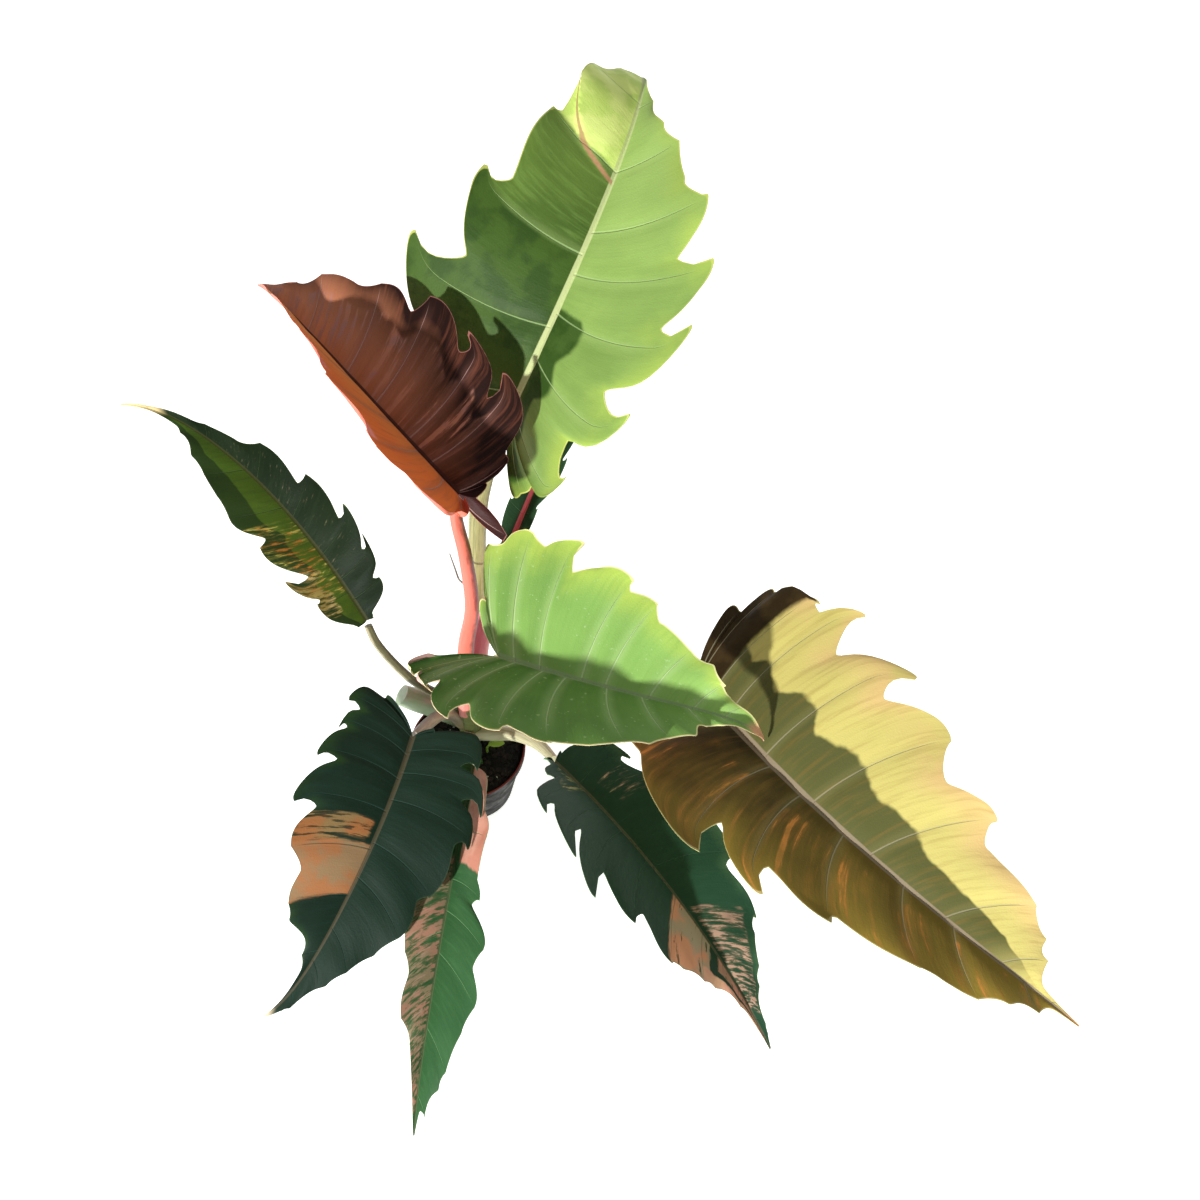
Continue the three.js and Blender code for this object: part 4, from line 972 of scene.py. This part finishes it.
# How each leaf is coloured. shift says how the lighter tone grows toward the tip, on the right
# half, toward the margin, and how much there is of it at the base. left is the pair of tones of
# the left half, where they differ. A patch is (side, from place, to place, from share, to share,
# how much of it is pale, grain across and along the veins, seed, and its two tones). rib, vein and
# rim are (tone, width in millimetres, strength). core is a tone beside the midrib and glow one
# near the margin, each with its side, share and strength. halo is a tone round the side veins,
# crease the line of a fold. The core of the right leaf and the darkest patches of the top, right
# and new leaves also hold shade that falls on the leaf in the photograph.
LOOKS = {
    "leaf_top": {
        # The top leaf's darker left tones are in part painted shade.
        "deep": 0x3F6020, "light": 0xA2C068, "left": (0x213A12, 0x86A548),
        "shift": (1.35, 0.2, 0.1, -0.25), "mottle": 0.45, "crease": (0.603, 0.045, 0.06, 0xA8785C),
        "glow": (0xB0C44C, 1, 0.7, 0.45), "thread": (0x8FB05A, 0.2),
        # The first patch, beside the rib on the right half, is painted shade.
        "patches": [(1, -0.1, 0.38, -0.1, 0.3, 1.4, 9, 1, 3, 0x2C4616, 0x3A5420),
                    # This pale patch on the tip of the left half is painted light.
                    (-1, 0.625, 1.1, -0.1, 1.2, 1.4, 9, 1, 4, 0xE4F48C, 0xCCE674),
                    # This patch over the lower left half is painted shade.
                    (-1, -0.1, 0.472, -0.1, 1.2, 1.4, 9, 1, 6, 0x2E4618, 0x3B541E),
                    # This patch on the base of the right half is painted shade.
                    (1, -0.1, 0.12, -0.1, 0.85, 1.4, 9, 1, 5, 0x33501C, 0x4A6A28)],
        "halo": (0xB4CC84, 0.12),
        "rib": (0xC3CC92, 8, 0.75), "vein": (0x9DB87A, 1.3, 0.5), "rim": (0xC8CC6A, 1.2, 0.6),
        "under": 0x9FAF78, "under_rib": 0xC9CFA6, "gloss": 0.5,
    },
    "leaf_new": {
        # The bright orange left tones are the leaf's copper colour and in part painted light shining through
        # it.
        "deep": 0x22110D, "light": 0xC8805C, "left": (0xF87A40, 0xFFA860),
        "shift": (2, 0, -0.8, -0.36), "mottle": 0.5, "thread": (0x9A5A42, 0.3),
        "halo": (0x8C5E52, 0.3),
        "patches": [(1, 0.28, 0.95, 0, 0.7, 0.45, 46, 0.8, 3, 0xA8776C, 0xB87A60),
                    # This dark patch at the base of the right half is the leaf's own red-brown and in part
                    # painted shade.
                    (1, -0.1, 0.2, -0.1, 1.2, 1.4, 9, 1, 6, 0x240C0A, 0x34120E),
                    (-1, -0.1, 0.05, 0.5, 1.2, 1.4, 9, 1, 7, 0xFF9C94, 0xF08078),
                    (-1, 0.16, 0.23, 0.84, 1.2, 1.4, 9, 1, 8, 0xFF9C94, 0xF08078),
                    (-1, 0.33, 0.39, 0.87, 1.2, 1.4, 9, 1, 9, 0xFF9C94, 0xF08078),
                    (-1, 0.47, 0.53, 0.87, 1.2, 1.4, 9, 1, 2, 0xFF9C94, 0xF08078)],
        "rib": (0x4F302A, 6, 0.9), "vein": (0xB8948C, 1.3, 0.6), "rim": (0xB87870, 0.7, 0.5),
        "tip": (0xC4504A, 0.93), "under": 0xD8705E, "under_rib": 0xD86F6C, "gloss": 0.5,
    },
    "leaf_left": {
        "deep": 0x0E1C0A, "light": 0x263A12, "shift": (0.2, -0.3, 0, 0.25), "mottle": 0.5,
        "thread": (0x1E3018, 0.3), "core": (0x506C1A, -1, 0.5, 0.4),
        "patches": [
            (-1, 0.28, 0.47, 0.05, 1.1, 0.42, 150, 2.2, 3, 0x9A9648, 0x8A5A22),
            (1, 0.3, 0.75, 0.05, 0.8, 0.3, 170, 3, 5, 0x6C6E44, 0x847860),
            (-1, 0.24, 0.34, 0.45, 1.1, 0.48, 160, 2, 9, 0x9A8A58, 0x7A6C38),
        ],
        "rib": (0x34361A, 4, 0.8), "vein": (0x34482A, 0.8, 0.5), "rim": (0x5E6E38, 0.7, 0.5),
        "tip": (0xDCC890, 0.86), "under": 0x6F8A5A, "under_rib": 0xA8A878, "gloss": 0.55,
    },
    "leaf_centre": {
        "deep": 0x43702C, "light": 0x98C266, "shift": (0.85, -0.22, 0.1, 0.08), "mottle": 0.5,
        "glow": (0xC6DA5C, -1, 0.62, 0.7), "thread": (0x6FA048, 0.25), "specks": (0xB2D090, 0.66),
        "halo": (0xC0DA98, 0.22),
        "rib": (0x8FA578, 6.5, 0.8), "vein": (0xC4DCA4, 1.4, 0.5), "rim": (0xE6E3A0, 1.4, 0.95),
        "tip": (0xF4BC90, 0.9), "under": 0xC79C93, "under_rib": 0xD8B8A8, "gloss": 0.48,
    },
    "leaf_right": {
        "deep": 0x332A12, "light": 0xA89038, "left": (0xC8BC6C, 0xD4C878),
        "shift": (1, 0, 0.3, -0.3), "mottle": 0.6, "glow": (0xE0B080, -1, 0.6, 0.6),
        # The dark core beside the midrib of the left half is painted shade.
        "thread": (0x8A6A30, 0.3), "core": (0x494D29, -1, 0.4, 0.95), "halo": (0x9C9460, 0.15),
        "patches": [(1, 0.25, 0.97, 0.25, 1.2, 0.4, 60, 0.9, 3, 0x9A7030, 0xC0803A),
                    (1, -0.1, 0.3, 0.35, 1.2, 0.5, 34, 0.8, 5, 0x8A5E22, 0x70501E),
                    # This dark patch on the left basal lobe is painted shade.
                    (-1, -0.1, 0.235, -0.1, 1.2, 1.4, 9, 1, 4, 0x3A2C16, 0x2C200E)],
        "rib": (0x8A7C66, 10, 0.9), "vein": (0xA39C80, 1.3, 0.5), "rim": (0xC8B87A, 1, 0.7),
        "tip": (0xCFA26A, 0.95), "under": 0xA8B070, "under_rib": 0xC0B89A, "gloss": 0.5,
    },
    "leaf_lower_right": {
        "deep": 0x1C3826, "light": 0x284A34, "shift": (0, -0.1, 0, 0.35), "mottle": 0.6,
        "thread": (0x2A4A36, 0.3), "glow": (0x6A8A5A, -1, 0.8, 0.35),
        "patches": [
            (1, 0.6, 0.73, 0, 1.1, 0.62, 70, 2, 3, 0xA5947A, 0xCE9070),
            (1, 0.76, 0.97, -0.1, 0.5, 0.6, 90, 2, 5, 0xA9806A, 0xC88A78),
            (1, 0.7, 0.97, 0.7, 1.2, 0.8, 40, 3, 7, 0xD8A888, 0xD09880),
            (-1, 0.64, 0.9, 0.1, 0.85, 0.46, 120, 2.4, 8, 0x907464, 0xA88874),
            (1, 0.23, 0.3, 0, 0.4, 0.42, 120, 3, 9, 0xA8A070, 0x8A8850),
            (-1, 0.3, 0.37, 0.3, 0.9, 0.38, 120, 2.4, 2, 0xA89A7A, 0xB89880),
        ],
        "rib": (0x5A5A44, 4.5, 0.8), "vein": (0x3E5E46, 0.8, 0.5), "rim": (0x6A7A54, 0.7, 0.4),
        "under": 0x7A9A70, "under_rib": 0xA8A888, "gloss": 0.55,
    },
    "leaf_lower_left": {
        "deep": 0x0B1C12, "light": 0x142A1C, "shift": (0.1, -0.1, 0, 0.35), "mottle": 0.6,
        "glow": (0x2C4A18, 1, 0.75, 0.5), "thread": (0x16302A, 0.3),
        "patches": [
            (1, 0.43, 0.53, 0.1, 1.2, 0.52, 80, 1.6, 3, 0x7A6440, 0x8A5A34),
            (1, 0.49, 0.62, -0.1, 1.2, 0.72, 60, 1.4, 6, 0x80684A, 0x90603C),
        ],
        "rib": (0x45402F, 5, 0.8), "vein": (0x274238, 0.9, 0.5), "rim": (0x364E30, 0.7, 0.4),
        "tip": (0xD8C8A8, 0.95), "under": 0x6F9078, "under_rib": 0xA0A484, "gloss": 0.58,
    },
    "leaf_bottom": {
        "deep": 0x1E4222, "light": 0x325832, "shift": (0.1, -0.1, 0, 0.45), "mottle": 0.6,
        "thread": (0x426A40, 0.3),
        "patches": [
            (-1, 0, 0.43, 0.2, 1.3, 1.2, 20, 2, 3, 0xB88470, 0xB07662),
            (1, 0.42, 0.95, 0.05, 1.2, 0.5, 90, 2, 4, 0x7A6C52, 0x926C58),
            (1, 0.45, 0.9, 0.3, 1.2, 0.42, 140, 1.4, 6, 0x8E7862, 0x9C7462),
        ],
        "rib": (0x4E5A3C, 4, 0.8), "vein": (0x6A9464, 0.9, 0.5), "rim": (0x7A9060, 0.7, 0.4),
        "under": 0x8AA880, "under_rib": 0xB0B890, "gloss": 0.55,
    },
    "leaf_back": {
        "deep": 0x1C3422, "light": 0x304E2C, "shift": (0.1, 0, 0, 0.3), "mottle": 0.6,
        "thread": (0x2A4630, 0.3),
        "rib": (0xD0606A, 6, 0.9), "vein": (0x3E5E3E, 0.8, 0.5), "rim": (0x5A7A4A, 0.7, 0.4),
        "under": 0x7A9A78, "under_rib": 0xB0A88A, "gloss": 0.5,
    },
}

for name, leaf in LEAVES.items():
    skin = blade_finish(name + "_skin", LOOKS[name])
    keep(name + "_skin", blade_shape(leaf), skin, [name + "_blade"], sharp=50)


# Small growth at the soil: the stub of a cut leaf stalk, a short pink sheath, a thin aerial
# root, dried strips of an old sheath, and two sprout leaves.
stub_path = [(-6, 24, 92), (-28, 28, 110), (-46, 28, 123), (-59, 28, 133)]
stub = lay_rod(stub_path, (9.5, 12, 12.5, 11), 0.8, sides=40)
stub_finish = stalk_finish("stub_skin", 0x93A583, 0x77886A, 0xC9A9A0, 0x6E7A5A, 0.4, 0.3, (0.5, 2))
keep("stub_skin", stub, stub_finish, ["trimmed_stub"], sharp=50)

sheath = lay_rod([(3, 4, 103), (1, -3, 103), (-2, -7, 101), (-7, -9, 96)], (5, 6, 4.5, 1), 0.3)
sheath_finish = stalk_finish(
    "sheath_skin", 0xD8645E, 0xC24C4C, 0xE8A090, 0xD8A090, 0.3, 0.5, (0.2, 0.6))
keep("sheath_skin", sheath, sheath_finish, ["short_sheath"], sharp=60)

root = lay_rod([(9, 50, 292), (5, 57, 287), (1, 69, 285), (-4, 82, 289)], (1, 0.9, 0.8, 0.6), sides=12)
root_finish = stalk_finish("root_skin", 0x8B8378, 0x6A625A, 0xA09688, 0x8B8378, 0.8, 0.3, (0, 0.1))
keep("root_skin", root, root_finish, ["aerial_root"], sharp=60)

dry_finish = stalk_finish("dry_strip_skin", 0xC29A5E, 0x8A6234, 0xD8B880, 0x7A5630, 0.9, 0.3, (0, 0.6))
long_path = [(-15, 8, 81), (-14, 4, 85), (-9, 0, 90), (-3, -4, 90)]
strip = lay_rod(long_path, (2.6, 3, 2.4, 0.8), 0.3, rings=40)
keep("dry_strip_long", strip, dry_finish, ["dried_strips"], sharp=60)
short_path = [(-15, 10, 81), (-17, 3, 84), (-15, -3, 88), (-10, -7, 89)]
strip = lay_rod(short_path, (2.4, 2.6, 2, 0.8), 0.3, rings=40)
keep("dry_strip_short", strip, dry_finish, sharp=60)


def sprout_shape(at, length, width, heading, pitch):
    """A small pointed leaf, folded a little, on a thin stalk that stands in the soil."""
    sprout = bmesh.new()
    bmesh.ops.create_uvsphere(sprout, u_segments=32, v_segments=24, radius=1)
    for v in sprout.verts:
        x, y, z = v.co
        half_width = width / 2 * (1 - 0.35 * abs(x) ** 3)
        v.co = Vector((x * length / 2, y * half_width, z * 0.7 + 1.2 * abs(y) - 0.8 * x * x))
    heading = math.radians(heading)
    turn = Matrix.Rotation(heading, 4, "Z") @ Matrix.Rotation(-math.radians(pitch), 4, "Y")
    set_out = Matrix.Translation(Vector(at) * MM) @ turn @ Matrix.Scale(MM, 4)
    bmesh.ops.transform(sprout, matrix=set_out, verts=sprout.verts)
    back = Vector((math.cos(heading), math.sin(heading), 0)) * -0.42 * length
    foot = Vector(at) + back * 1.4
    neck = (at[0] + back.x * 0.7, at[1] + back.y * 0.7, at[2] - 0.5)
    path = [(foot.x, foot.y, 70), (foot.x, foot.y, 84), neck]
    stalk = lay_rod(path, (1.3, 1.3, 1), sides=12, rings=16)
    joined = bpy.data.meshes.new("sprout")
    stalk.to_mesh(joined)
    stalk.free()
    sprout.from_mesh(joined)
    bpy.data.meshes.remove(joined)
    return sprout


light_finish = stalk_finish("light_sprout_skin", 0x9DC04C, 0x86AC40, 0xB5D468, 0x9DC04C, 0.3, 0.4, (0, 0.1))
keep("light_sprout_skin", sprout_shape((28, -3, 95), 16, 9, -5, 12), light_finish, ["light_sprout"])
dark_finish = stalk_finish("dark_sprout_skin", 0x44702E, 0x35602A, 0x5A8A3A, 0x44702E, 0.3, 0.4, (0, 0.1))
keep("dark_sprout_skin", sprout_shape((3, -14, 89), 17, 9, 175, 8), dark_finish, ["dark_sprout"])
